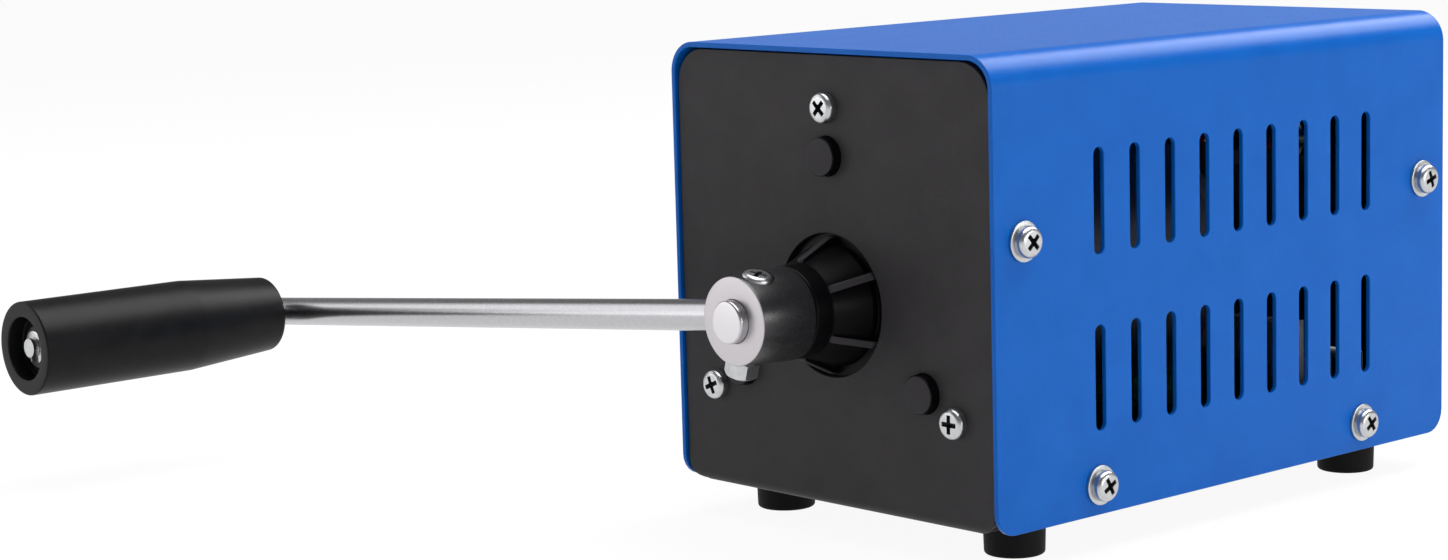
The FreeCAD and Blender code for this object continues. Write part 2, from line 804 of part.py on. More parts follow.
def make_gearbox_cap():
    """Front cap: flange, three ears, three bosses that stand out of the plate, and the nose."""
    seat = cap_back - s.ball_bearing_width
    bush_radius = s.shaft_radius + s.running_gap + s.bush_wall
    body = turned("gearbox_cap", (
        (nose_front, bush_radius), (nose_front, s.nose_radius),
        (-wall_y - s.nose_body_reach, s.nose_radius), (-wall_y - s.nose_body_reach, s.nose_body_radius),
        (-wall_y, s.nose_base_radius), (cap_front, s.nose_base_radius), (cap_front, s.housing_radius),
        (cap_back, s.housing_radius), (cap_back, s.ball_bearing_radius), (seat, s.ball_bearing_radius),
        (seat, bush_radius)))
    for degrees in TRIO:
        x, z = around(s.ear_circle, degrees)
        ear = new_sketch(body, "XZ_Plane", -cap_front)
        circle(ear, x, z, s.ear_radius)
        pad(body, ear, s.ear_length, flipped=True)
        x, z = around(s.boss_circle, degrees)
        boss = new_sketch(body, "XZ_Plane", -cap_back)
        circle(boss, x, z, s.boss_radius)
        pad(body, boss, s.cap_thickness + s.sheet_wall + s.boss_proud)
    return body


def make_cap_details(body):
    """Ribs of the nose, and the screw holes of the ears and bosses."""
    crest = s.plate_hole_radius - s.nose_plate_gap
    inside = (s.ball_bearing_radius + s.nose_radius) / 2
    ribs = new_sketch(body, "YZ_Plane")
    outline(ribs, ((cap_front, inside), (cap_front, crest), (-wall_y, crest),
                   (-wall_y - s.nose_body_reach, s.nose_body_radius + s.rib_rise),
                   (-wall_y - s.nose_body_reach, inside)))
    rib = pad(body, ribs, s.rib_thickness, both_sides=True)
    pattern = body.newObject("PartDesign::PolarPattern", "nose_ribs")
    pattern.Originals = [rib]
    pattern.Axis = (ribs, ["H_Axis"])
    pattern.Angle = 360.0
    pattern.Occurrences = 6
    body.Tip = pattern
    doc.recompute()
    ear_holes = new_sketch(body, "XZ_Plane", -cap_front)
    for degrees in TRIO:
        x, z = around(s.ear_circle, degrees)
        circle(ear_holes, x, z, s.screw_radius + s.thread_gap)
    pocket(body, ear_holes, s.ear_length)
    boss_holes = new_sketch(body, "XZ_Plane", -cap_back)
    for degrees in TRIO:
        x, z = around(s.boss_circle, degrees)
        circle(boss_holes, x, z, s.screw_radius + s.thread_gap)
    pocket(body, boss_holes, s.gearbox_screw_grip + s.thread_gap, flipped=True)


def tooth_outline(teeth, grow=0.0, add=1.0, dip=1.25):
    """Corner points of a gear: involute flanks cut into short straight steps.

    grow widens each tooth by that much on either side; add and dip are the heights of the tooth above and
    below the pitch circle, in modules.
    """
    teeth = int(round(float(teeth)))
    module = float(s.gear_module)
    pitch = module * teeth / 2
    slope = math.radians(float(s.pressure_angle))
    base = pitch * math.cos(slope)
    tip = pitch + add * module
    root = pitch - dip * module
    half_pitch = math.pi / (2 * teeth) + math.tan(slope) - slope + grow / pitch
    steps = 5
    points = []
    for tooth in range(teeth):
        middle = 2 * math.pi * tooth / teeth
        flank = []
        low = max(base, root)
        for step in range(steps + 1):
            radius = low + (tip - low) * step / steps
            roll = math.acos(min(1.0, base / radius))
            flank.append((radius, half_pitch - (math.tan(roll) - roll)))
        if root < base:
            flank.insert(0, (root, flank[0][1]))
        points += [(radius, middle - angle) for radius, angle in flank]
        points += [(radius, middle + angle) for radius, angle in reversed(flank)]
    return [FreeCAD.Vector(radius * math.cos(angle), 0, radius * math.sin(angle)) for radius, angle in points]


def tooth_prism(points, front, back, turn=0.0):
    """Solid with that outline between two places along the shaft."""
    wire = Part.makePolygon(points + [points[0]])
    face = Part.Face(wire)
    solid = face.extrude(FreeCAD.Vector(0, float(back - front), 0))
    solid.translate(FreeCAD.Vector(0, float(front), 0))
    solid.rotate(FreeCAD.Vector(0, 0, 0), FreeCAD.Vector(0, 1, 0), -turn)
    return solid


def on_axis(x=0.0, z=0.0):
    return FreeCAD.Placement(FreeCAD.Vector(float(x), 0, float(s.axis_height + z)), FreeCAD.Rotation())


def make_ring_gear():
    hollow = tooth_prism(tooth_outline(ring_teeth, float(s.tooth_play) / 2, 1.25, 1.0), cap_back, ring_back,
                         180.0 / float(ring_teeth))
    shape = y_cylinder(s.housing_radius, cap_back, ring_back).cut(hollow)
    holes = [y_cylinder(s.screw_radius + s.thread_gap, cap_back, ring_back, *around(s.boss_circle, degrees))
             for degrees in TRIO]
    feature("ring_gear", shape.cut(holes), on_axis())


def make_adapter_plate():
    shape = y_cylinder(s.housing_radius, ring_back, adapter_back)
    cuts = [y_cylinder(s.bell_boss_radius + s.thread_gap, ring_back, adapter_back)]
    head_end = ring_back + s.bell_screw_head_depth
    for degrees in TRIO:
        cuts.append(y_cylinder(s.screw_radius + s.thread_gap, ring_back, adapter_back,
                               *around(s.boss_circle, degrees)))
        x, z = around(s.bell_screw_circle, degrees)
        cuts.append(y_cylinder(s.screw_radius + s.thread_gap, ring_back, adapter_back, x, z))
        cuts.append(sunk_head(x, z, head_end))
    feature("adapter_plate", shape.cut(cuts), on_axis())


def sunk_head(x, z, head_end):
    """Cone of a countersunk head, flush with the adapter plate's front."""
    start = FreeCAD.Vector(float(x), float(ring_back), float(z))
    return Part.makeCone(float(s.screw_radius + s.bell_screw_head_depth), float(s.screw_radius),
                         float(head_end - ring_back), start, FreeCAD.Vector(0, 1, 0))


def make_housing_screws():
    ears = []
    long_screws = []
    bell_screws = []
    for degrees in TRIO:
        x, z = around(s.ear_circle, degrees)
        ears.append(facing(x, -wall_y, s.axis_height + z, (0, -1, 0)))
        x, z = around(s.boss_circle, degrees)
        long_screws.append(facing(x, adapter_back, s.axis_height + z, (0, 1, 0)))
        x, z = around(s.bell_screw_circle, degrees)
        head_end = ring_back + s.bell_screw_head_depth
        screw = sunk_head(x, z, head_end)
        shank = y_cylinder(s.screw_radius, head_end, ring_back + s.bell_screw_length, x, z)
        bell_screws.append(screw.fuse(shank).removeSplitter())
    copies("front_screws", pan_screw(s.ear_screw_length), ears)
    copies("gearbox_screws", pan_screw(adapter_back - cap_back + s.gearbox_screw_grip), long_screws)
    feature("generator_screws", Part.makeCompound(bell_screws), on_axis())


# Bearings

def make_bearings():
    inner = s.shaft_radius + s.running_gap
    outer = inner + s.bush_wall
    turned("shaft_bush", ((nose_front, inner), (nose_front, outer), (nose_front + s.bush_length, outer),
                          (nose_front + s.bush_length, inner)))
    ball_bearing("shaft_bearing", cap_back - s.ball_bearing_width, cap_back, inner, s.ball_bearing_radius)
    inner = s.rotor_shaft_radius + s.running_gap
    for label, front in (("rotor_bearing_front", bell_back - s.bell_floor - s.small_bearing_width),
                         ("rotor_bearing_back", can_back + s.bell_floor)):
        ball_bearing(label, front, front + s.small_bearing_width, inner, s.small_bearing_radius)


def ball_bearing(label, front, back, inner, outer):
    """Shielded bearing: a ring with a shallow channel in each face."""
    third = (outer - inner) / 3
    shield = s.shield_depth
    turned(label, ((front, inner), (front, inner + third), (front + shield, inner + third),
                   (front + shield, outer - third), (front, outer - third), (front, outer), (back, outer),
                   (back, outer - third), (back - shield, outer - third), (back - shield, inner + third),
                   (back, inner + third), (back, inner)))


# Planetary stages

def carrier(label, front, back, hub):
    """Disc that carries three pins, on a shaft of the hub's radius."""
    reach = gear_centres + s.carrier_rim
    shape = y_cylinder(reach, front, back)
    cuts = [y_cylinder(hub, front, back)]
    cuts += [y_cylinder(s.pin_radius, front, back, *around(gear_centres, degrees)) for degrees in TRIO]
    feature(label, shape.cut(cuts), on_axis())


def carrier_pins(label, front, gear_end):
    """Three pins with a head that keeps the planets on."""
    pins = []
    for degrees in TRIO:
        x, z = around(gear_centres, degrees)
        pin = y_cylinder(s.pin_radius, front, gear_end, x, z)
        head = y_cylinder(s.pin_head_radius, gear_end + s.running_gap, gear_end + s.pin_head_height, x, z)
        neck = y_cylinder(s.pin_radius, gear_end, gear_end + s.pin_head_height, x, z)
        pins.append(pin.fuse([neck, head]).removeSplitter())
    feature(label, Part.makeCompound(pins), on_axis())


def planets(stage, front, back):
    points = tooth_outline(s.planet_teeth, -float(s.tooth_play) / 2)
    for number, degrees in enumerate(TRIO, 1):
        x, z = around(gear_centres, degrees)
        bore = y_cylinder(s.pin_radius + s.thread_gap, front, back)
        shape = tooth_prism(points, front, back, degrees).cut(bore)
        feature("%s_planet_%d" % (stage, number), shape, on_axis(x, z))


def sun(label, front, back, bore=None, stub_end=None):
    shape = tooth_prism(tooth_outline(s.sun_teeth, -float(s.tooth_play) / 2), front, back)
    if bore is not None:
        shape = shape.cut(y_cylinder(bore, front, back))
    if stub_end is not None:
        shape = shape.fuse(y_cylinder(s.sun_stub_radius, back, stub_end)).removeSplitter()
    feature(label, shape, on_axis())


def make_stages():
    carrier("first_carrier_disc", first_carrier_front, first_carrier_back, s.shaft_radius)
    carrier_pins("first_carrier_pins", first_carrier_front, first_gear_back)
    planets("first", first_gear_front, first_gear_back)
    sun("first_sun", first_gear_front, second_carrier_front, stub_end=second_carrier_back)
    carrier("second_carrier_disc", second_carrier_front, second_carrier_back, s.sun_stub_radius)
    carrier_pins("second_carrier_pins", second_carrier_front, second_gear_back)
    planets("second", second_gear_front, second_gear_back)
    sun("second_sun", second_gear_front, second_gear_back, bore=s.rotor_shaft_radius)


# Generator

def make_generator():
    hole = s.rotor_shaft_radius + s.bell_shaft_gap
    seat = s.small_bearing_radius
    seat_front = bell_back - s.bell_floor - s.small_bearing_width
    seat_back = can_back + s.bell_floor + s.small_bearing_width
    front = turned("generator_front_bell", (
        (adapter_back - s.bell_boss_reach, hole), (adapter_back - s.bell_boss_reach, s.bell_boss_radius),
        (adapter_back, s.bell_boss_radius), (adapter_back, s.can_radius), (bell_back, s.can_radius),
        (bell_back, seat), (seat_front, seat), (seat_front, hole)))
    holes = new_sketch(front, "XZ_Plane", -adapter_back)
    for degrees in TRIO:
        x, z = around(s.bell_screw_circle, degrees)
        circle(holes, x, z, s.screw_radius + s.thread_gap)
    pocket(front, holes, s.bell_thickness)
    turned("generator_can", ((bell_back, s.can_radius - s.can_wall), (bell_back, s.can_radius),
                             (can_back, s.can_radius), (can_back, s.can_radius - s.can_wall)))
    turned("generator_rear_bell", (
        (can_back, seat), (can_back, s.can_radius), (rear_bell_back, s.can_radius),
        (rear_bell_back, s.bell_boss_radius), (rear_bell_back + s.bell_boss_reach, s.bell_boss_radius),
        (rear_bell_back + s.bell_boss_reach, hole), (seat_back, hole), (seat_back, seat)))


stator_front = bell_back + (s.can_length - s.stator_length) / 2
stator_back = stator_front + s.stator_length
yoke_inner = s.can_radius - s.can_wall - s.stator_yoke


def radial_block(width, low, high, front, back, degrees):
    """Block across a radius, between two radii and two places along the shaft."""
    block = Part.makeBox(float(high - low), float(back - front), float(width),
                         FreeCAD.Vector(float(low), float(front), -float(width) / 2))
    block.rotate(FreeCAD.Vector(0, 0, 0), FreeCAD.Vector(0, 1, 0), -degrees)
    return block


def make_stator():
    count = int(round(s.stator_teeth))
    bore = s.stator_bore_radius
    shoe = bore + s.stator_shoe_depth
    yoke = y_cylinder(s.can_radius - s.can_wall, stator_front, stator_back)
    yoke = yoke.cut(y_cylinder(yoke_inner, stator_front, stator_back))
    iron = []
    coils = []
    for tooth in range(count):
        degrees = 360.0 * tooth / count
        iron.append(radial_block(s.stator_tooth_width, bore / 2, yoke_inner + s.stator_yoke / 2,
                                 stator_front, stator_back, degrees))
        iron.append(radial_block(s.stator_shoe_width, bore / 2, shoe, stator_front, stator_back, degrees))
        inside = s.stator_tooth_width + s.coil_gap * 2
        ends = s.coil_gap + s.coil_wall
        coil = radial_block(inside + s.coil_wall * 2, shoe + s.coil_gap, yoke_inner - s.stator_yoke / 2,
                            stator_front - ends, stator_back + ends, degrees)
        coils.append(coil.cut(radial_block(inside, shoe, yoke_inner, stator_front - s.coil_gap,
                                           stator_back + s.coil_gap, degrees)))
    shape = yoke.fuse(iron).cut(y_cylinder(bore, stator_front, stator_back)).removeSplitter()
    feature("stator_core", shape, on_axis())
    feature("stator_coils", Part.makeCompound(coils), on_axis())


def make_rotor():
    count = int(round(s.magnet_count))
    outer = s.stator_bore_radius - s.air_gap
    inner = outer - s.magnet_thickness
    turned("rotor_shaft", ((second_gear_front, 0.0), (second_gear_front, s.rotor_shaft_radius),
                           (rear_bell_back + s.bell_boss_reach, s.rotor_shaft_radius),
                           (rear_bell_back + s.bell_boss_reach, 0.0)))
    turned("rotor_core", ((stator_front, s.rotor_shaft_radius), (stator_front, inner),
                          (stator_back, inner), (stator_back, s.rotor_shaft_radius)))
    magnets = []
    base = FreeCAD.Vector(0, float(stator_front), 0)
    sweep = 360.0 / count - float(s.magnet_spacing)
    for number in range(count):
        start = 360.0 * number / count
        wedge = Part.makeCylinder(float(outer), float(s.stator_length), base, FreeCAD.Vector(0, 1, 0), sweep)
        wedge.rotate(FreeCAD.Vector(0, 0, 0), FreeCAD.Vector(0, 1, 0), start)
        magnets.append(wedge.cut(y_cylinder(inner, stator_front, stator_back)))
    feature("rotor_magnets", Part.makeCompound(magnets), on_axis())


# Crank

def cross_drill(label, radius, start, end, y, degrees):
    """Cylinder across the shaft, its direction turned from Z towards X by an angle."""
    drill = doc.addObject("Part::Cylinder", label)
    bind(drill, "Radius", radius)
    bind(drill, "Height", end - start)
    drill.Placement.Rotation = FreeCAD.Rotation(FreeCAD.Vector(0, 1, 0), float(degrees))
    bind(drill, "Placement.Rotation.Angle", degrees)
    bind(drill, "Placement.Base.x", start * sine(degrees))
    bind(drill, "Placement.Base.y", y)
    bind(drill, "Placement.Base.z", s.axis_height + start * cosine(degrees))
    return drill


def cut_by(label, base, tools):
    tool = tools[0]
    if len(tools) > 1:
        tool = doc.addObject("Part::MultiFuse", label + "_drills")
        tool.Shapes = tools
    made = doc.addObject("Part::Cut", label)
    made.Label = label
    made.Base = base
    made.Tool = tool
    doc.recompute()
    return made


rod_turn = s.rod_drop_angle + 90.0
spindle_x = -s.crank_radius * cosine(s.rod_drop_angle)
spindle_z = s.axis_height - s.crank_radius * sine(s.rod_drop_angle)


def make_crank():
    chamfer = s.shaft_chamfer
    bolt_hole = s.screw_radius + s.bolt_hole_gap
    reach = s.collar_radius + s.drill_runout
    shaft = turned("shaft_blank", (
        (shaft_front, 0.0), (shaft_front, s.shaft_radius - chamfer), (shaft_front + chamfer, s.shaft_radius),
        (first_carrier_back, s.shaft_radius), (first_carrier_back, 0.0)))
    cut_by("crank_shaft", shaft, [cross_drill("shaft_drill", bolt_hole, -reach, reach, bolt_y, s.bolt_tilt)])
    chamfer = s.collar_chamfer
    collar = turned("collar_blank", (
        (collar_front, s.shaft_radius), (collar_front, s.collar_front_radius - chamfer),
        (collar_front + chamfer, s.collar_front_radius), (collar_back, s.collar_radius),
        (collar_back, s.shaft_radius)))
    head_hole = s.screw_head_radius + s.bolt_hole_gap
    nut_hole = s.nut_flats / math.sqrt(3) + s.bolt_hole_gap
    cut_by("crank_collar", collar, [
        cross_drill("bolt_drill", bolt_hole, -reach, reach, bolt_y, s.bolt_tilt),
        cross_drill("bolt_seat_drill", head_hole, s.bolt_seat, reach, bolt_y, s.bolt_tilt),
        cross_drill("nut_seat_drill", nut_hole, -reach, -s.nut_seat, bolt_y, s.bolt_tilt),
        cross_drill("rod_drill", s.rod_radius, -reach, -s.shaft_radius / 2, rod_y, 180.0 - rod_turn)])
    up = FreeCAD.Vector(math.sin(math.radians(s.bolt_tilt)), 0, math.cos(math.radians(s.bolt_tilt)))
    centre = FreeCAD.Vector(0, float(bolt_y), float(s.axis_height))
    bolt_length = s.bolt_seat + s.nut_seat + s.nut_height + s.bolt_tail
    feature("crank_bolt", pan_screw(bolt_length), facing(*(centre + up * float(s.bolt_seat)), up))
    nut = hex_nut(s.nut_flats, s.nut_height, s.screw_radius + s.thread_gap)
    feature("crank_nut", nut, facing(*(centre - up * float(s.nut_seat)), -up))


def make_rod():
    """Round bar out of the shaft, cross-drilled for the grip's spindle between two sunk seats."""
    rod = new_body("crank_rod", s.axis_height, 0.0, rod_y)
    rod.Placement.Rotation = FreeCAD.Rotation(FreeCAD.Vector(0, -1, 0), float(rod_turn))
    bind(rod, "Placement.Rotation.Angle", rod_turn)
    bar = new_sketch(rod, "XY_Plane", s.shaft_radius)
    circle(bar, 0.0, 0.0, s.rod_radius)
    pad(rod, bar, s.crank_radius + s.rod_tail - s.shaft_radius)
    for radius, side in ((s.spindle_flange_radius, 1), (s.spindle_rivet_radius, -1)):
        seat = new_sketch(rod, "XZ_Plane", side * s.rod_seat)
        circle(seat, 0.0, s.crank_radius, radius + s.thread_gap)
        pocket(rod, seat, s.rod_radius + s.drill_runout - s.rod_seat, flipped=side > 0)
    hole = new_sketch(rod, "XZ_Plane")
    circle(hole, 0.0, s.crank_radius, s.spindle_neck_radius)
    pocket(rod, hole)


def make_grip():
    """Grip turning freely on its spindle, held by a washer and a clip in the recess of its end."""
    seat_front = rod_y - s.rod_seat
    seat_back = rod_y + s.rod_seat
    rivet_back = seat_back + s.spindle_rivet_height
    flange_front = seat_front - s.spindle_flange
    small_end = flange_front - s.grip_gap
    big_end = small_end - s.grip_length
    recess_floor = big_end + s.grip_recess_depth
    washer_back = recess_floor - s.grip_play
    washer_front = washer_back - s.grip_washer_thickness
    clip_back = washer_front - s.clip_play
    clip_front = clip_back - s.clip_thickness
    groove_radius = s.spindle_radius - s.clip_groove
    spindle_end = big_end + s.spindle_sink
    bore = s.spindle_radius + s.grip_bore_gap
    turned("grip", (
        (small_end, bore), (small_end, s.grip_small_radius - s.grip_chamfer),
        (small_end - s.grip_chamfer, s.grip_small_radius), (small_end - s.grip_knee, s.grip_knee_radius),
        (big_end + s.grip_rim_chamfer, s.grip_big_radius), (big_end, s.grip_big_radius - s.grip_rim_chamfer),
        (big_end, s.grip_recess_radius), (recess_floor, s.grip_recess_radius), (recess_floor, bore)),
        spindle_z, spindle_x)
    turned("grip_spindle", (
        (rivet_back, 0.0), (rivet_back, s.spindle_rivet_radius), (seat_back, s.spindle_rivet_radius),
        (seat_back, s.spindle_neck_radius), (seat_front, s.spindle_neck_radius),
        (seat_front, s.spindle_flange_radius), (flange_front, s.spindle_flange_radius),
        (flange_front, s.spindle_radius), (clip_back, s.spindle_radius), (clip_back, groove_radius),
        (clip_front, groove_radius), (clip_front, s.spindle_radius), (spindle_end, s.spindle_radius),
        (spindle_end, 0.0)), spindle_z, spindle_x)
    turned("grip_washer", ((washer_front, bore), (washer_front, s.grip_washer_radius),
                           (washer_back, s.grip_washer_radius), (washer_back, bore)), spindle_z, spindle_x)
    clip = turned("grip_clip", ((clip_front, groove_radius), (clip_front, s.clip_radius),
                                (clip_back, s.clip_radius), (clip_back, groove_radius)), spindle_z, spindle_x)
    mouth = new_sketch(clip, "XZ_Plane")
    rectangle(mouth, -s.clip_mouth / 2, s.clip_mouth / 2, -s.clip_radius - s.drill_runout, 0.0)
    pocket(clip, mouth)


# Circuit board on the floor behind the generator

board_low = floor_top + s.standoff_height
board_top = board_low + s.board_thickness
board_back = wall_inner - s.board_back_gap
board_screw_x = s.board_x - s.standoff_inset
board_screw_front = s.board_front + s.standoff_inset
board_screw_back = board_back - s.standoff_inset
socket_z = board_top + s.dc_axis_rise


def make_board():
    """Board on four standoffs; gives back the places of its screws."""
    hole = s.screw_radius + s.thread_gap
    board = new_body("circuit_board")
    sheet_outline = new_sketch(board, "XY_Plane", board_low)
    rectangle(sheet_outline, -s.board_x, s.board_x, s.board_front, board_back)
    for x in (-1, 1):
        for y in (board_screw_front, board_screw_back):
            circle(sheet_outline, x * board_screw_x, y, hole)
    pad(board, sheet_outline, s.board_thickness)
    post = Part.makeCylinder(float(s.standoff_radius), float(s.standoff_height))
    spigot = Part.makeCylinder(float(s.standoff_spigot_radius), float(s.sheet_wall),
                               FreeCAD.Vector(0, 0, -float(s.sheet_wall)))
    thread = Part.makeCylinder(float(hole), float(s.floor_screw_length),
                               FreeCAD.Vector(0, 0, float(s.standoff_height - s.floor_screw_length)))
    standoff = post.fuse(spigot).cut(thread).removeSplitter()
    places = [(x * board_screw_x, y) for x in (-1, 1) for y in (board_screw_front, board_screw_back)]
    copies("board_standoffs", standoff, [facing(x, y, floor_top, (0, 0, 1)) for x, y in places])
    return [facing(x, y, board_top, (0, 0, 1)) for x, y in places]


def make_board_parts():
    turned_upright("capacitor", (
        (0.0, 0.0), (s.capacitor_radius, 0.0), (s.capacitor_radius, s.capacitor_height - s.part_bevel),
        (s.capacitor_radius - s.part_bevel, s.capacitor_height), (0.0, s.capacitor_height)),
        -s.part_x, s.part_y, board_top)
    turned_upright("inductor", ((s.inductor_hole, 0.0), (s.inductor_radius, 0.0),
                                (s.inductor_radius, s.inductor_height), (s.inductor_hole, s.inductor_height)),
                   s.part_x, s.part_y, board_top)
    bridge_front = s.bridge_y - s.bridge_depth / 2
    box_body("bridge_rectifier", (-s.part_x - s.bridge_width / 2, bridge_front, board_top),
             (-s.part_x + s.bridge_width / 2, bridge_front + s.bridge_depth, board_top + s.bridge_height))
    make_heat_sink()
    shoulder = board_top + s.terminal_height - s.terminal_collar
    half = s.terminal_width / 2
    terminal = box_body("terminal_block", (-half, s.terminal_y - s.terminal_depth / 2, board_top),
                        (half, s.terminal_y + s.terminal_depth / 2, shoulder))
    collars = new_sketch(terminal, "XY_Plane", shoulder)
    for wire in (-1, 0, 1):
        circle(collars, wire * s.phase_spacing, s.terminal_y, s.wire_radius * 2)
    pad(terminal, collars, s.terminal_collar)


def make_heat_sink():
    """Finned sink with the regulator on its flat front."""
    back = s.bridge_y - s.bridge_depth / 2 + s.sink_base
    left = s.part_x - s.sink_width / 2
    sink = box_body("heat_sink", (left, back - s.sink_base, board_top),
                    (left + s.sink_width, back, board_top + s.sink_height))
    fins = new_sketch(sink, "XY_Plane", board_top)
    count = int(round(s.sink_fin_count))
    fin = s.sink_width / (2 * s.sink_fin_count - 1)
    for number in range(count):
        start = left + fin * 2 * number
        rectangle(fins, start, start + fin, back, back + s.sink_fin)
    pad(sink, fins, s.sink_height)
    front = back - s.sink_base - s.regulator_depth
    box_body("regulator", (s.part_x - s.regulator_width / 2, front, board_top),
             (s.part_x + s.regulator_width / 2, front + s.regulator_depth, board_top + s.regulator_height))


# Wires, each a round tube of straight runs and tangent arcs

def wire_tube(points):
    """Tube through three points, with the widest arc that leaves a short straight run at each end."""
    start, corner, end = [FreeCAD.Vector(*map(float, point)) for point in points]
    back = start - corner
    ahead = end - corner
    angle = math.pi - back.getAngle(ahead)
    cut = 0.9 * min(back.Length, ahead.Length)
    radius = cut / math.tan(angle / 2)
    arc_start = corner + back.normalize() * cut
    arc_end = corner + ahead.normalize() * cut
    inward = (back + ahead).normalize()
    centre = corner + inward * math.hypot(radius, cut)
    middle = centre - inward * radius
    bend = Part.Arc(arc_start, middle, arc_end)
    runs = (Part.LineSegment(start, arc_start), bend, Part.LineSegment(arc_end, end))
    path = Part.Wire([run.toShape() for run in runs])
    ring = Part.Wire(Part.makeCircle(float(s.wire_radius), start, corner - start))
    tube = path.makePipeShell([ring], True, False)
    length = path.Length
    if abs(tube.Volume - math.pi * s.wire_radius ** 2 * length) > 0.01 * tube.Volume:
        raise ValueError("a wire's tube has the wrong volume")
    return tube


def make_wires():
    exit_z = s.axis_height - s.phase_exit_drop
    terminal_top = board_top + s.terminal_height
    phases = [wire_tube(((wire * s.phase_spacing, rear_bell_back, exit_z),
                         (wire * s.phase_spacing, s.terminal_y, exit_z),
                         (wire * s.phase_spacing, s.terminal_y, terminal_top))) for wire in (-1, 0, 1)]
    feature("phase_wires", Part.makeCompound(phases))
    outputs = [wire_tube(((side * s.post_spacing / 2, s.post_stem_end, s.post_height),
                          (side * s.post_spacing / 2, s.post_wire_y, s.post_height),
                          (side * s.post_spacing / 2, s.post_wire_y, board_top))) for side in (-1, 1)]
    feature("output_wires", Part.makeCompound(outputs))


# Outlets in the rear wall

def make_binding_post(colour, side):
    """Insulated base through the wall, a bored post, and a fluted cap that unscrews along it."""
    x = side * s.post_spacing / 2
    stem = s.post_stem_radius
    base_face = wall_y + s.post_base_reach
    flange_face = base_face + s.post_flange_reach
    post_end = wall_y + s.post_reach
    bore_floor = post_end - s.post_bore_depth
    turned("%s_post_base" % colour, (
        (wall_inner, stem), (wall_inner, s.post_spigot_radius), (wall_y, s.post_spigot_radius),
        (wall_y, s.post_base_radius), (base_face, s.post_base_radius), (base_face, stem)), s.post_height, x)
    post = turned("%s_post" % colour, (
        (s.post_stem_end, 0.0), (s.post_stem_end, stem), (base_face, stem), (base_face, s.post_flange_radius),
        (flange_face, s.post_flange_radius), (flange_face, s.post_radius), (post_end, s.post_radius),
        (post_end, s.post_bore_radius), (bore_floor, s.post_bore_radius), (bore_floor, 0.0)),
        s.post_height, x)
    wire_hole = new_sketch(post, "XY_Plane")
    circle(wire_hole, 0.0, (flange_face + bore_floor) / 2, s.post_wire_hole)
    pocket(post, wire_hole)
    cap_start = flange_face + s.post_cap_seat
    cap_end = cap_start + s.post_cap_length
    hole = s.post_radius + s.post_cap_gap
    cap = turned("%s_post_cap" % colour, (
        (cap_start, hole), (cap_start, s.post_cap_radius), (cap_end - s.part_bevel, s.post_cap_radius),
        (cap_end, s.post_cap_radius - s.part_bevel), (cap_end, hole)), s.post_height, x)
    flutes = new_sketch(cap, "XZ_Plane", -cap_end)
    count = int(round(s.post_cap_flutes))
    for number in range(count):
        across, up = around(s.post_cap_radius + s.flute_radius / 3, 360.0 * number / count)
        circle(flutes, across, up, s.flute_radius)
    pocket(cap, flutes, s.post_cap_length - s.flute_stop, flipped=True)


def make_post_fixings():
    washer_front = wall_inner - s.post_washer_thickness
    stem = s.post_stem_radius
    rings = []
    nuts = []
    for side in (-1, 1):
        x = side * s.post_spacing / 2
        ring = y_cylinder(s.post_base_radius, washer_front, wall_inner, x, s.post_height)
        rings.append(ring.cut(y_cylinder(stem + s.thread_gap, washer_front, wall_inner, x, s.post_height)))
        nuts.append(facing(x, washer_front, s.post_height, (0, -1, 0)))
    feature("post_washers", Part.makeCompound(rings))
    copies("post_nuts", hex_nut(s.post_nut_flats, s.post_nut_height, stem + s.thread_gap), nuts)


def make_dc_socket():
    """Barrel socket standing on the board, its mouth through the rear wall."""
    face = wall_y + s.socket_proud
    body_back = wall_inner - s.socket_hole_gap
    body_front = body_back - s.dc_depth
    socket = box_body("dc_socket", (-s.dc_x - s.dc_width / 2, body_front, board_top),
                      (-s.dc_x + s.dc_width / 2, body_back, board_top + s.dc_height))
    barrel = new_sketch(socket, "XZ_Plane", -body_back)
    circle(barrel, -s.dc_x, socket_z, s.dc_barrel_radius)
    pad(socket, barrel, face - body_back, flipped=True)
    bore = new_sketch(socket, "XZ_Plane", -face)
    circle(bore, -s.dc_x, socket_z, s.dc_bore_radius)
    pocket(socket, bore, s.dc_bore_depth, flipped=True)
    turned("dc_pin", ((face - s.dc_bore_depth, 0.0), (face - s.dc_bore_depth, s.dc_pin_radius),
                      (face - s.contact_setback, s.dc_pin_radius), (face - s.contact_setback, 0.0)),
           socket_z, -s.dc_x)


def make_usb_socket():
    """Sheet shell open at the back, with a plastic block and tongue inside."""
    face = wall_y + s.socket_proud
    front = face - s.usb_depth
    half = s.usb_width / 2
    top = board_top + s.usb_height
    shell = box_body("usb_shell", (s.usb_x - half, front, board_top), (s.usb_x + half, face, top))
    hollow = new_sketch(shell, "XZ_Plane", -face)
    rectangle(hollow, s.usb_x - half + s.usb_shell, s.usb_x + half - s.usb_shell,
              board_top + s.usb_shell, top - s.usb_shell)
    pocket(shell, hollow, s.usb_depth - s.usb_shell, flipped=True)
    inner = half - s.usb_shell
    block_back = front + s.usb_block
    block = box_body("usb_insert", (s.usb_x - inner, front + s.usb_shell, board_top + s.usb_shell),
                     (s.usb_x + inner, block_back, top - s.usb_shell))
    tongue = new_sketch(block, "XZ_Plane", -block_back)
    tongue_top = top - s.usb_shell - s.usb_tongue_gap
    rectangle(tongue, s.usb_x - inner + s.usb_tongue_gap, s.usb_x + inner - s.usb_tongue_gap,
              tongue_top - s.usb_tongue, tongue_top)
    pad(block, tongue, face - block_back - s.contact_setback, flipped=True)


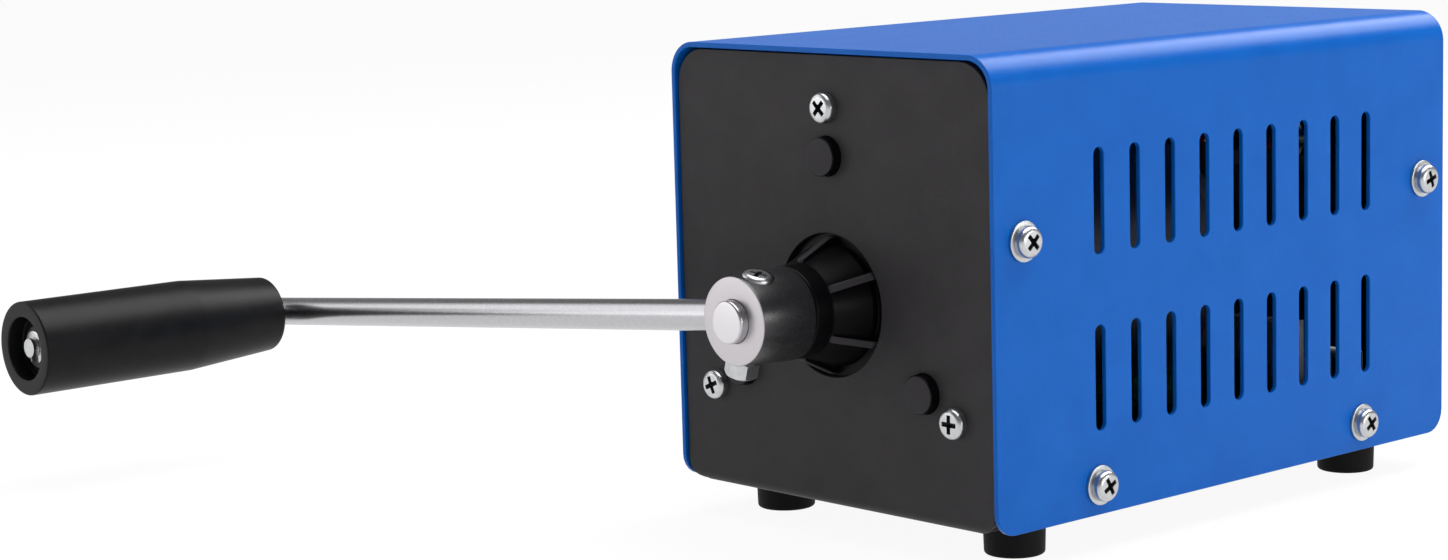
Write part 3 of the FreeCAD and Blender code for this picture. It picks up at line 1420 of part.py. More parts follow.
def make_lamp():
    """Round indicator lamp through the rear wall, its two legs bent down to the board."""
    tip = wall_y + s.lamp_reach
    lens = s.lamp_radius
    rim = lens + s.lamp_rim
    rim_front = wall_inner - s.lamp_rim * 2
    dome = [(tip - lens + lens * sine(angle), lens * cosine(angle)) for angle in (0, 20, 40, 60, 75)]
    rim_points = [(rim_front, 0.0), (rim_front, rim), (wall_inner, rim), (wall_inner, lens)]
    turned("lamp_lens", rim_points + dome + [(tip, 0.0)], socket_z)
    legs = []
    thick = float(s.lamp_leg)
    setback = float(s.lamp_leg_setback)
    for side in (-1, 1):
        left = side * float(lens) / 2 - thick / 2
        near = float(rim_front) - setback - thick / 2
        level = Part.makeBox(thick, setback + thick / 2, thick,
                             FreeCAD.Vector(left, near, float(socket_z) - thick / 2))
        upright = Part.makeBox(thick, thick, float(socket_z - board_top) + thick / 2,
                               FreeCAD.Vector(left, near, float(board_top)))
        legs.append(level.fuse(upright).removeSplitter())
    feature("lamp_legs", Part.makeCompound(legs))


# The whole machine

make_chassis()
make_cover()
make_cover_screws()
foot_screw_places = make_feet()
make_cap_details(make_gearbox_cap())
make_ring_gear()
make_adapter_plate()
make_housing_screws()
make_bearings()
make_stages()
make_generator()
make_stator()
make_rotor()
make_crank()
make_rod()
make_grip()
board_screw_places = make_board()
copies("floor_screws", pan_screw(s.floor_screw_length), foot_screw_places + board_screw_places)
make_board_parts()
make_wires()
make_binding_post("red", 1)
make_binding_post("black", -1)
make_post_fixings()
make_dc_socket()
make_usb_socket()
make_lamp()

# Repeated or joined solids that make one piece together
GROUPS = (
    ("feet", ["foot_%s_%s" % (end, side) for end in ("front", "back") for side in ("left", "right")]),
    ("ball_bearings", ["shaft_bearing", "rotor_bearing_front", "rotor_bearing_back"]),
    ("first_carrier", ["first_carrier_disc", "first_carrier_pins"]),
    ("second_carrier", ["second_carrier_disc", "second_carrier_pins"]),
    ("board_chips", ["bridge_rectifier", "regulator"]),
    ("inner_wires", ["phase_wires", "output_wires"]),
    ("post_bases", ["red_post_base", "black_post_base"]),
    ("binding_posts", ["red_post", "black_post"]),
    ("indicator_lamp", ["lamp_lens", "lamp_legs"]),
)
for label, members in GROUPS:
    group = doc.addObject("Part::Compound", label)
    group.Label = label
    group.Links = [doc.getObjectsByLabel(member)[0] for member in members]
doc.recompute()

# A piece is whatever has a shape and is used in no other object
pieces = [thing for thing in doc.Objects if thing.isDerivedFrom("Part::Feature") and not thing.InList]
for thing in doc.Objects:
    if "Invalid" in thing.State or "Error" in thing.State:
        raise ValueError("%s failed: %s" % (thing.Label, thing.State))
for piece in pieces:
    if piece.Shape.isNull() or not piece.Shape.isValid() or not piece.Shape.Solids:
        raise ValueError("%s has no valid solid" % piece.Label)

# From the middle of the box to the middle of the whole machine
span = FreeCAD.BoundBox()
for piece in pieces:
    span.add(piece.Shape.optimalBoundingBox(False))
shift = FreeCAD.Vector(-span.Center.x, -span.Center.y, 0)

os.makedirs("parts", exist_ok=True)
for piece in pieces:
    moved = piece.Shape.copy()
    moved.translate(shift)
    moved.exportStep("parts/%s.step" % piece.Label)
print("%d pieces, %d solids" % (len(pieces), sum(len(piece.Shape.Solids) for piece in pieces)))
print("moved by x %.6f, y %.6f" % (shift.x, shift.y))
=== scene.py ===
import json
import math

import bmesh
import bpy
import numpy as np
from mathutils import Matrix, Vector
from mathutils.geometry import delaunay_2d_cdt


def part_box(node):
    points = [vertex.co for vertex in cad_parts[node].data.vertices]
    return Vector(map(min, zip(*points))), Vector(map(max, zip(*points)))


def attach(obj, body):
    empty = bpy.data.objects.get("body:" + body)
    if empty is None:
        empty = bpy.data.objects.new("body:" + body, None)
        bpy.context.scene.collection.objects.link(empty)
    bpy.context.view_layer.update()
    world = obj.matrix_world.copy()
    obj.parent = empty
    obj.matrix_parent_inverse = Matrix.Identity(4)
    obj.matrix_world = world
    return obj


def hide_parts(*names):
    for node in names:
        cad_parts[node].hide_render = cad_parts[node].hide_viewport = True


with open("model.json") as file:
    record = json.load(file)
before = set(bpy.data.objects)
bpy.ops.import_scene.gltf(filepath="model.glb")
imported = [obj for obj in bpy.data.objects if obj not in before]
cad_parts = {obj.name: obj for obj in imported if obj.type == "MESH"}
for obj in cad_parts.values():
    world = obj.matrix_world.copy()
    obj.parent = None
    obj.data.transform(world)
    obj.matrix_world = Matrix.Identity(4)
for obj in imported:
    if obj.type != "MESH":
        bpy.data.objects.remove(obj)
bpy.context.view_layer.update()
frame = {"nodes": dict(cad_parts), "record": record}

# Places are in millimetres round the middle of the sheet-metal box, on the floor.
# The crank is at -Y, Z is up.

MM = 0.001
BOX_LOW, BOX_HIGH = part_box("cover")
MIDDLE = np.array([(BOX_LOW.x + BOX_HIGH.x) / 2, (BOX_LOW.y + BOX_HIGH.y) / 2, 0.0])


def span(node):
    """A CAD node's lowest and highest corners, in millimetres round the middle of the box."""
    low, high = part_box(node)
    return (np.array(low) - MIDDLE) / MM, (np.array(high) - MIDDLE) / MM


COVER_LOW, COVER_HIGH = span("cover")
CHASSIS_LOW, CHASSIS_HIGH = span("chassis")
CAP_LOW = span("gearbox_cap")[0]
COLLAR_LOW, COLLAR_HIGH = span("crank_collar")
GRIP_LOW, GRIP_HIGH = span("grip")

AXIS_Z = (COLLAR_LOW[2] + COLLAR_HIGH[2]) / 2
TRIO = np.radians((90.0, 210.0, 330.0))
PLATE_Y = CHASSIS_LOW[1]

# Sheet metal: walls, bends, slots and holes. A slot's first size is its height.
SHEET = 1.2
CHASSIS_BEND = 2.2
PLATE_TOP_CORNER = 7.0
PLATE_LOW_CORNER = 4.4
NOTCH_LENGTH = 9.3
PLATE_HOLE = 13.55
COVER_WALL = 1.0
COVER_BEND = 6.0
COVER_CORNER = 4.5
SLOT = (19.6, 2.8)
SLOT_ROWS = (COVER_LOW[2] + 25.4, COVER_LOW[2] + 57.9)
SLOT_COLUMNS = [1.0 + 9.92 * (number - 4) for number in range(9)]
HIGH_SCREW = (59.0, COVER_LOW[2] + 52.7)
LOW_SCREW = (39.3, COVER_LOW[2] + 5.6)
COVER_HOLES = [(end * y, z) for y, z in (HIGH_SCREW, LOW_SCREW) for end in (-1, 1)]
EAR_CIRCLE = 36.87
BOSS_CIRCLE = 27.87
BOSS_HOLE = 3.75
BOSS_PROUD = 2.0
FOOT = (30.75, 49.75)
FOOT_HEIGHT = 6.8
FOOT_RADIUS = 5.85
FOOT_LOW_RADIUS = 5.65
FOOT_BORE = 1.6
FOOT_HOLLOW = 3.3
FOOT_HOLLOW_HEIGHT = 4.2
STANDOFF_X = 30.0
STANDOFF_Y = (22.0, 59.2)
STANDOFF_HOLE = 2.0
POST = (9.525, 66.0)
POST_HOLE = 4.0
OUTLET_X = 17.0
SOCKET_Z = 22.1
SOCKET_HOLE = 4.5
LAMP_HOLE = 2.55
USB_Z = 18.5
USB_HOLE = (6.4, 13.8)
USB_CORNER = 0.6
HIGH_FLANGE = (14.6, 18.0)
HIGH_FLANGE_INSET = 8.0
LOW_FLANGE = (14.0, 10.0)
LOW_FLANGE_RISE = 5.3
FLANGE_CORNER = 1.5

# Fasteners
SCREW_RADIUS = 1.45
HOLE_RADIUS = 1.5
HEAD_RADIUS = 2.9
HEAD_HEIGHT = 2.0
HEAD_ROUND = 1.0
HEAD_FALL = 0.12
RECESS_WIDTH = 0.9
RECESS_REACH = 1.75
RECESS_DEPTH = 1.2
WASHER = 0.6
WASHER_RADIUS = 3.7
COVER_SCREW_LENGTH = 6.0
EAR_SCREW_LENGTH = 8.0

# Nose, hub and crank. A seat's size is its height above the shaft's axis.
CAP_BACK = 60.7
CAP_RADIUS = 31.5
EAR_RADIUS = 5.0
EAR_LENGTH = 6.0
BOSS_RADIUS = 3.65
NOSE_BASE = 11.6
NOSE_BODY = 8.9
NOSE_TIP = 8.6
NOSE_REACH = 7.6
NOSE_BORE = 6.03
RIB = 1.5
RIB_ROOT = 8.2
RIB_GAP = 0.55
RIB_TIP = 0.6
# Share of the painted highlight on the rib crests
RIB_PAINTED_SHEEN = 1.0
RIM_STEPS = 4
SHAFT_RADIUS = 4.0
SHAFT_LOW, SHAFT_HIGH = span("crank_shaft")
COLLAR_FRONT = 8.2
BOLT_Y = COLLAR_HIGH[1] - 8.3
BOLT_TILT = math.radians(16.0)
BOLT_SEAT = 6.9
NUT_SEAT = 8.0
NUT_FLATS = 5.5
NUT_HEIGHT = 3.2
NUT_SPIN = 0.98
BOLT_TAIL = 0.6
ROD_RADIUS = 3.0
ROD_Y = COLLAR_HIGH[1] - 3.55
ROD_END = 164.2
ROD_SINK = 0.2
GRIP_BORE = 2.05
GRIP_SMALL = 8.0
GRIP_KNEE = (9.75, 21.5)
GRIP_BIG = 9.85
GRIP_RECESS = (6.65, 3.6)
GRIP_X, GRIP_Z = (GRIP_LOW[0] + GRIP_HIGH[0]) / 2, (GRIP_LOW[2] + GRIP_HIGH[2]) / 2
ROD_TILT = math.atan2(AXIS_Z - GRIP_Z, -GRIP_X)

# Arrays of points and faces


def join(*shapes):
    """One shape from several: each one's face numbers move up by the count of the points before it."""
    points = []
    faces = []
    count = 0
    for some_points, some_faces in shapes:
        points.append(some_points)
        faces += [tuple(corner + count for corner in face) for face in some_faces]
        count += len(some_points)
    return np.concatenate(points), faces


def grid_faces(rows, columns, wrap_rows=False, wrap_columns=False):
    """Quads of a grid: each joins (i, j), (i, j + 1), (i + 1, j + 1) and (i + 1, j), counted round where the
    grid wraps."""
    i = np.arange(rows if wrap_rows else rows - 1)[:, None]
    j = np.arange(columns if wrap_columns else columns - 1)[None, :]
    up = (i + 1) % rows
    across = (j + 1) % columns
    quads = np.stack([i * columns + j, i * columns + across, up * columns + across, up * columns + j], -1)
    return [tuple(quad) for quad in quads.reshape(-1, 4).tolist()]


def fillet(corners, radii, steps=6, closed=True):
    """Outline whose corners are arcs: each arc touches both sides at radius times the tangent of half the
    turn from the corner, and runs between the two touching points at that radius from its own centre."""
    corners = np.asarray(corners, float)
    radii = np.broadcast_to(np.asarray(radii, float), len(corners))[:, None]
    back = np.roll(corners, 1, 0) - corners
    ahead = np.roll(corners, -1, 0) - corners
    back /= np.linalg.norm(back, axis=1, keepdims=True)
    ahead /= np.linalg.norm(ahead, axis=1, keepdims=True)
    cross = back[:, 0] * ahead[:, 1] - back[:, 1] * ahead[:, 0]
    half = np.arctan2(np.abs(cross), np.sum(back * ahead, 1))[:, None] / 2
    bisector = back + ahead
    bisector /= np.maximum(np.linalg.norm(bisector, axis=1, keepdims=True), 1e-9)
    centres = corners + bisector * radii / np.sin(half)
    starts = corners + back * radii / np.tan(half) - centres
    ends = corners + ahead * radii / np.tan(half) - centres
    turn = (math.pi - 2 * half)[:, :, None]
    t = np.linspace(0, 1, steps)[None, :, None]
    arcs = starts[:, None] * np.sin((1 - t) * turn) + ends[:, None] * np.sin(t * turn)
    points = centres[:, None] + arcs / np.maximum(np.sin(turn), 1e-9)
    points[radii[:, 0] == 0] = corners[radii[:, 0] == 0][:, None]
    if not closed:
        points[0] = corners[0]
        points[-1] = corners[-1]
    points = points.reshape(-1, 2)
    near = np.roll(points, 1, 0) if closed else np.vstack([points[:1] + 1, points[:-1]])
    return points[np.linalg.norm(points - near, axis=1) > 1e-5]


def lathe(profile, segments=96, closed=False):
    """Surface of revolution about Z: the point (radius, height) goes to (radius cos a, radius sin a, height)
    for a from 0 to a full turn."""
    profile = np.asarray(profile, float)
    angles = np.linspace(0, 2 * math.pi, segments, endpoint=False)
    radius = profile[:, 0][:, None]
    points = np.stack([radius * np.cos(angles), radius * np.sin(angles),
                       np.broadcast_to(profile[:, 1][:, None], (len(profile), segments))], -1)
    return points.reshape(-1, 3), grid_faces(len(profile), segments, wrap_rows=closed, wrap_columns=True)


def aim(shape, place, direction=(0, 0, 1), spin=0.0):
    """The shape turned about its own Z by spin, with Z sent to the direction and its zero to the place."""
    points, faces = shape
    swing = Vector((0, 0, 1)).rotation_difference(Vector(direction)).to_matrix()
    turn = swing @ Matrix.Rotation(spin, 3, "Z")
    return points @ np.array(turn).T + np.asarray(place, float), faces


def ring_place(radius, angle, y):
    """Point on a circle about the shaft: radius cos a across, radius sin a above the shaft."""
    return radius * math.cos(angle), y, AXIS_Z + radius * math.sin(angle)


def finished(name, shape, body, slot, nodes, smooth=35.0, even=False, mark=None):
    """Mesh object from the shape, its doubles merged and its faces turned outwards, riding on its CAD body.
    Even shading keeps large flats flat. Its material reads the marks, one for each point, where its finish
    changes, and on some pieces where shade or a highlight is painted."""
    points, faces = shape
    mesh = bpy.data.meshes.new(name)
    mesh.from_pydata((points * MM + MIDDLE).tolist(), [], faces)
    if mark is not None:
        mesh.attributes.new("mark", "FLOAT", "POINT").data.foreach_set("value", mark)
    work = bmesh.new()
    work.from_mesh(mesh)
    bmesh.ops.delete(work, geom=[point for point in work.verts if not point.link_faces], context="VERTS")
    bmesh.ops.remove_doubles(work, verts=work.verts, dist=2e-7)
    bmesh.ops.dissolve_degenerate(work, edges=work.edges, dist=1e-8)
    bmesh.ops.recalc_face_normals(work, faces=work.faces)
    work.to_mesh(mesh)
    work.free()
    piece = bpy.data.objects.new(name, mesh)
    bpy.context.scene.collection.objects.link(piece)
    mesh.polygons.foreach_set("use_smooth", np.ones(len(mesh.polygons), bool))
    if even:
        piece.modifiers.new("even", "WEIGHTED_NORMAL")
    else:
        mesh.set_sharp_from_angle(angle=math.radians(smooth))
    mesh.materials.append(MATERIALS[slot])
    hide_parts(*nodes)
    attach(piece, body)
    return piece


# Materials


def linear(colour):
    """sRGB hex to linear: v / 12.92 up to 0.04045, else ((v + 0.055) / 1.055) to the power 2.4."""
    v = np.array([int(colour[i:i + 2], 16) for i in (1, 3, 5)]) / 255
    return tuple(np.where(v <= 0.04045, v / 12.92, ((v + 0.055) / 1.055) ** 2.4)) + (1.0,)


def add(tree, kind, sockets=None, stops=None, **settings):
    """A node with its settings, its ramp's stops, and its sockets set to values or linked to other nodes'
    outputs."""
    node = tree.nodes.new("ShaderNode" + kind)
    for name, value in settings.items():
        setattr(node, name, value)
    if stops:
        elements = node.color_ramp.elements
        while len(elements) < len(stops):
            elements.new(0.5)
        for element, (position, colour) in zip(elements, stops):
            element.position = position
            element.color = linear(colour)
    for name, value in (sockets or {}).items():
        if isinstance(value, bpy.types.NodeSocket):
            tree.links.new(value, node.inputs[name])
        else:
            node.inputs[name].default_value = value
    return node


def new_material(name):
    """Empty node tree and the place of its surface, on Object coordinates in metres."""
    material = bpy.data.materials.new(name)
    material.use_nodes = True
    tree = material.node_tree
    tree.nodes.clear()
    coordinates = add(tree, "TexCoord").outputs["Object"]
    return material, tree, coordinates


def grain(tree, coordinates, size_mm, detail=2.0, stretch=(1, 1, 1)):
    """Noise whose blotches are about size_mm across, drawn out along an axis where stretch is below 1."""
    place = add(tree, "Mapping", {"Vector": coordinates, "Scale": stretch}).outputs["Vector"]
    return add(tree, "TexNoise", {"Vector": place, "Scale": 1 / (size_mm * MM), "Detail": detail,
                                  "Roughness": 0.55}).outputs["Fac"]


def between(tree, value, low, high, near=0.3, far=0.7):
    """A value from near to far, spread between low and high."""
    return add(tree, "MapRange", {"Value": value, "From Min": near, "From Max": far,
                                  "To Min": low, "To Max": high}).outputs["Result"]


def close(material, tree, **sockets):
    """Principled surface with these sockets, joined to the output."""
    shader = add(tree, "BsdfPrincipled", {key.replace("_", " "): value for key, value in sockets.items()})
    add(tree, "OutputMaterial", {"Surface": shader.outputs["BSDF"]})
    return material


def worked(name, shades, patch_mm, roughness, grain_mm, bump, metallic=0.0, ior=1.5, stretch=(1, 1, 1),
           marked=None, **more):
    """Finish of one stuff: its shades drift in patches, and a finer grain moves its roughness and its height.
    Where a piece's points are marked, it takes the marked shade, metallic share and roughness: a real change
    of finish on some pieces, painted shade or a painted highlight on others."""
    material, tree, coordinates = new_material(name)
    patches = grain(tree, coordinates, patch_mm, 3.0, stretch)
    stops = [(0.3 + 0.4 * i / (len(shades) - 1), shade) for i, shade in enumerate(shades)]
    colour = add(tree, "ValToRGB", {"Fac": patches}, stops).outputs["Color"]
    fine = grain(tree, coordinates, grain_mm, 3.0, stretch)
    height = add(tree, "Bump", {"Height": fine, "Strength": bump,
                                "Distance": grain_mm * MM * 0.5}).outputs["Normal"]
    rough = between(tree, fine, *roughness)
    if marked:
        shade, metal, smooth = marked
        mark = add(tree, "Attribute", attribute_name="mark").outputs["Fac"]
        colour = add(tree, "Mix", {0: mark, 6: colour, 7: linear(shade)}, data_type="RGBA").outputs[2]
        rough = between(tree, mark, rough, smooth, 0.0, 1.0)
        metallic = between(tree, mark, metallic, metal, 0.0, 1.0)
    return close(material, tree, Base_Color=colour, Roughness=rough, Metallic=metallic, IOR=ior,
                 Normal=height, **more)


MATERIALS = {
    # Powder coat on steel sheet: even colour with a fine orange peel, satin
    "cover_paint": worked("blue powder coat", ("#0050A2", "#0355A8"), 9.0, (0.27, 0.34), 0.45, 0.08,
                          Specular_IOR_Level=0.12),
    "chassis_paint": worked("charcoal powder coat", ("#2A282A", "#2F2D2F"), 7.0, (0.44, 0.54), 0.35, 0.15,
                            Specular_IOR_Level=0.15),
    # Zinc plating on steel, satin, with painted shade darkening a screw's marked recess
    "zinc": worked("bright zinc plate", ("#BEBFC1", "#CCCDCE"), 1.2, (0.26, 0.36), 0.25, 0.12, 1.0,
                   marked=("#39383A", 1.0, 0.6)),
    "foot_rubber": worked("moulded rubber", ("#0A0A0B", "#101011"), 2.5, (0.55, 0.7), 0.3, 0.25,
                          Specular_IOR_Level=0.12),
    # Marked rib crests and boss faces take a lighter shade as a painted highlight
    "nose_plastic": worked("moulded black nylon", ("#050406", "#080709"), 3.0, (0.3, 0.36), 0.5, 0.06,
                           ior=1.53, marked=("#302E31", 0.0, 0.45), Specular_IOR_Level=0.08),
    "housing_plastic": worked("glass-filled nylon", ("#1D1C1D", "#2A292A"), 1.5, (0.45, 0.6), 0.25, 0.3,
                              ior=1.53),
    "gear_plastic": worked("natural nylon", ("#DCD8CA", "#E8E4D8"), 4.0, (0.35, 0.45), 0.4, 0.12,
                           ior=1.53, Subsurface_Weight=0.15, Subsurface_Scale=0.002),
    "steel": worked("turned steel", ("#9C9DA0", "#B4B5B8"), 0.8, (0.25, 0.4), 0.15, 0.2, 1.0,
                    stretch=(1, 6, 1)),
    # A marked face, the shaft's end, is rougher as faced, and lighter as a painted highlight
    "polished_steel": worked("polished bright bar", ("#B6B6B9", "#BEBEC1"), 0.8, (0.25, 0.31), 0.12, 0.02,
                             1.0, marked=("#DAD7DA", 1.0, 0.36)),
    "bronze": worked("sintered bronze", ("#8E6A3C", "#A8844F"), 0.6, (0.35, 0.5), 0.2, 0.35, 1.0),
    "collar_black": worked("blackened steel", ("#1A191B", "#201F21"), 2.0, (0.26, 0.32), 0.3, 0.08,
                           marked=("#C6C2C5", 1.0, 0.4), Specular_IOR_Level=0.9),
    "grip_plastic": worked("satin moulded plastic", ("#0B0B0C", "#111112"), 4.0, (0.34, 0.44), 0.4, 0.12,
                           ior=1.49, Specular_IOR_Level=0.15),
    "motor_alloy": worked("die-cast alloy", ("#A8A9AB", "#BBBCBE"), 1.8, (0.4, 0.55), 0.35, 0.3, 1.0),
    "lamination": worked("stacked steel sheets", ("#5C5D61", "#84858A"), 0.5, (0.4, 0.55), 0.25, 0.5, 1.0,
                         stretch=(0.05, 1, 0.05)),
    "copper": worked("enamelled copper wire", ("#8A3F17", "#B8612B"), 0.5, (0.22, 0.34), 0.35, 0.8, 1.0),
    "magnet": worked("nickel plate on magnet", ("#8F9092", "#A5A5A6"), 1.5, (0.2, 0.3), 0.3, 0.1, 1.0),
    "board_green": worked("solder mask", ("#0C3B1E", "#14532B"), 1.1, (0.25, 0.35), 0.5, 0.2),
    "component_black": worked("moulded epoxy", ("#161618", "#202023"), 1.0, (0.45, 0.6), 0.2, 0.25),
    "terminal_green": worked("moulded polyamide", ("#1F6B3A", "#277A45"), 2.0, (0.4, 0.5), 0.3, 0.15),
    "wire_sleeve": worked("silicone sleeve", ("#8E1512", "#A31B17"), 2.0, (0.4, 0.5), 0.3, 0.1),
    "red_plastic": worked("red moulded plastic", ("#A80F12", "#BC1518"), 3.0, (0.28, 0.38), 0.4, 0.12),
    "black_plastic": worked("black moulded plastic", ("#141415", "#1C1C1E"), 3.0, (0.28, 0.38), 0.4, 0.12),
    "nickel": worked("nickel plate", ("#BDB8AC", "#CCC7BC"), 1.5, (0.15, 0.25), 0.3, 0.08, 1.0),
    "lamp_red": worked("tinted lens", ("#B0100F", "#C81A16"), 2.0, (0.1, 0.16), 0.4, 0.05,
                       Transmission_Weight=0.35),
}
for name, node in frame["nodes"].items():
    slot = [part["material_slot"] for part in frame["record"]["subparts"] if part["node"] == name][0]
    node.data.materials.clear()
    node.data.materials.append(MATERIALS[slot])

# Flat patterns, cut and folded


def circle(centre, radius, steps=48):
    """Closed outline: the centre plus radius (cos a, sin a)."""
    angles = np.linspace(0, 2 * math.pi, steps, endpoint=False)
    return np.asarray(centre, float) + radius * np.stack([np.cos(angles), np.sin(angles)], -1)


def rounded_box(centre, size, radius, steps=7):
    """Closed outline of a box round its centre, its corners arcs."""
    signs = np.array([(-1, -1), (1, -1), (1, 1), (-1, 1)])
    return fillet(np.asarray(centre, float) + signs * np.asarray(size, float) / 2, radius, steps)


def inside(points, loops):
    """Whether a ray from each point towards +s crosses the loops' edges an odd number of times."""
    odd = np.zeros(len(points), bool)
    s, t = points[:, :1], points[:, 1:]
    for near in loops:
        far = np.roll(near, -1, 0)
        rise = np.where(far[:, 1] == near[:, 1], 1.0, far[:, 1] - near[:, 1])
        reach = near[:, 0] + (t - near[:, 1]) * (far[:, 0] - near[:, 0]) / rise
        crossed = ((near[:, 1] > t) != (far[:, 1] > t)) & (s < reach)
        odd ^= crossed.sum(1) % 2 == 1
    return odd


def cut_flat(loops, folds=()):
    """Points and triangles of a flat cut to its loops, with edges across it at the fold stations too."""
    points = np.concatenate(loops)
    edges = []
    count = 0
    for loop in loops:
        ring = np.arange(len(loop)) + count
        edges += zip(ring.tolist(), np.roll(ring, -1).tolist())
        count += len(loop)
    ends = (points[:, 1].min() - 1, points[:, 1].max() + 1)
    for station in folds:
        points = np.concatenate([points, [(station, end) for end in ends]])
        edges.append((count, count + 1))
        count += 2
    found = delaunay_2d_cdt([Vector(point) for point in points.tolist()], edges, [], 0, 1e-6)
    flat = np.array([tuple(point) for point in found[0]])
    triangles = np.array(found[2])
    return flat, triangles[inside(flat[triangles].mean(1), loops)]


def rim_edges(triangles):
    """Edges that only one triangle has, each in that triangle's order."""
    edges = np.concatenate([triangles[:, pair] for pair in ((0, 1), (1, 2), (2, 0))])
    _, first, uses = np.unique(np.sort(edges, 1), axis=0, return_index=True, return_counts=True)
    return edges[first[uses == 1]]


def grown(loop, distance):
    """Closed outline moved outwards by the distance: each point goes along n + m, the sum of its two sides'
    unit normals, by twice the distance over the sum's squared length."""
    ahead = np.roll(loop, -1, 0)
    along = (ahead - loop) / np.linalg.norm(ahead - loop, axis=1, keepdims=True)
    turn = np.sign(np.sum(loop[:, 0] * ahead[:, 1] - loop[:, 1] * ahead[:, 0]))
    out = turn * np.stack([along[:, 1], -along[:, 0]], -1)
    both = out + np.roll(out, 1, 0)
    return loop + distance * 2 * both / np.sum(both ** 2, 1, keepdims=True)


def sheet(loops, wall, place, folds=(), edge=0.16):
    """Sheet cut to its outline (the first loop) and its holes, with rounded rims. Place sends (s, t) and a
    depth under the outer face to a point. Near either face, the rim's rings stand out by edge sin a, at a
    depth of edge (1 - cos a)."""
    cuts = [grown(loop, edge if number else -edge) for number, loop in enumerate(loops)]
    flat, triangles = cut_flat(cuts, folds)
    rim = rim_edges(triangles)
    along = flat[rim[:, 1]] - flat[rim[:, 0]]
    along /= np.linalg.norm(along, axis=1, keepdims=True)
    out = np.stack([along[:, 1], -along[:, 0]], -1)
    both = np.zeros_like(flat)
    for end in (0, 1):
        np.add.at(both, rim[:, end], out)
    both *= 2 / np.maximum(np.sum(both ** 2, 1, keepdims=True), 1e-9)
    turn = np.linspace(0, math.pi / 2, RIM_STEPS + 1)
    stand = np.concatenate([edge * np.sin(turn), edge * np.sin(turn[::-1])])
    depth = np.concatenate([edge * (1 - np.cos(turn)), wall - edge * (1 - np.cos(turn[::-1]))])
    layers = [place(flat + both * out_by, deep) for out_by, deep in zip(stand, depth)]
    faces = triangles.tolist()
    faces += (triangles[:, ::-1] + len(flat) * (len(layers) - 1)).tolist()
    for number in range(len(layers) - 1):
        lower, upper = rim + len(flat) * number, rim + len(flat) * (number + 1)
        faces += np.stack([lower[:, 1], lower[:, 0], upper[:, 0], upper[:, 1]], -1).tolist()
    return np.concatenate(layers), [tuple(face) for face in faces]


def fold_path(corners, inner_corners, bend, wall, steps=16):
    """Folded sheet's section: stations along its outer face, and the outer and inner points at each."""
    outer = fillet(corners, bend, steps, closed=False)
    inner = fillet(inner_corners, bend - wall, steps, closed=False)
    stations = np.concatenate([[0], np.cumsum(np.linalg.norm(np.diff(outer, axis=0), axis=1))])
    return stations, outer, inner


def folded(loops, path, wall, order):
    """Sheet folded round a section: (s, t) goes to the section's point at station s, between its outer and
    inner faces by depth / wall, with t across. The order says which of (first, second, t) is x, y and z."""
    stations, outer, inner = path

    def place(flat, depth):
        share = depth / wall
        section = [(1 - share) * np.interp(flat[:, 0], stations, outer[:, axis])
                   + share * np.interp(flat[:, 0], stations, inner[:, axis]) for axis in (0, 1)]
        return np.column_stack([*section, flat[:, 1]])[:, order]

    return sheet(loops, wall, place, stations[1:-1])


# Sheet metal


def slotted_cover():
    """Blue cover: a strip folded over the box, with two rows of nine slots and four screw holes a side."""
    low, high = COVER_LOW, COVER_HIGH
    wall = COVER_WALL
    path = fold_path([(low[0], low[2]), (low[0], high[2]), (high[0], high[2]), (high[0], low[2])],
                     [(low[0] + wall, low[2]), (low[0] + wall, high[2] - wall),
                      (high[0] - wall, high[2] - wall), (high[0] - wall, low[2])], COVER_BEND, wall)
    length = path[0][-1]
    depth = high[1] - low[1]
    loops = [rounded_box((length / 2, 0), (length, depth), COVER_CORNER)]
    for side in (0, 1):
        def station(z):
            return z - low[2] if side == 0 else length - z + low[2]
        loops += [rounded_box((station(z), y), SLOT, SLOT[1] / 2 - 1e-4)
                  for z in SLOT_ROWS for y in SLOT_COLUMNS]
        loops += [circle((station(z), y), HOLE_RADIUS) for y, z in COVER_HOLES]
    shape = folded(loops, path, wall, (0, 2, 1))
    finished("slotted_cover", shape, "housing", "cover_paint", ["cover"], even=True)


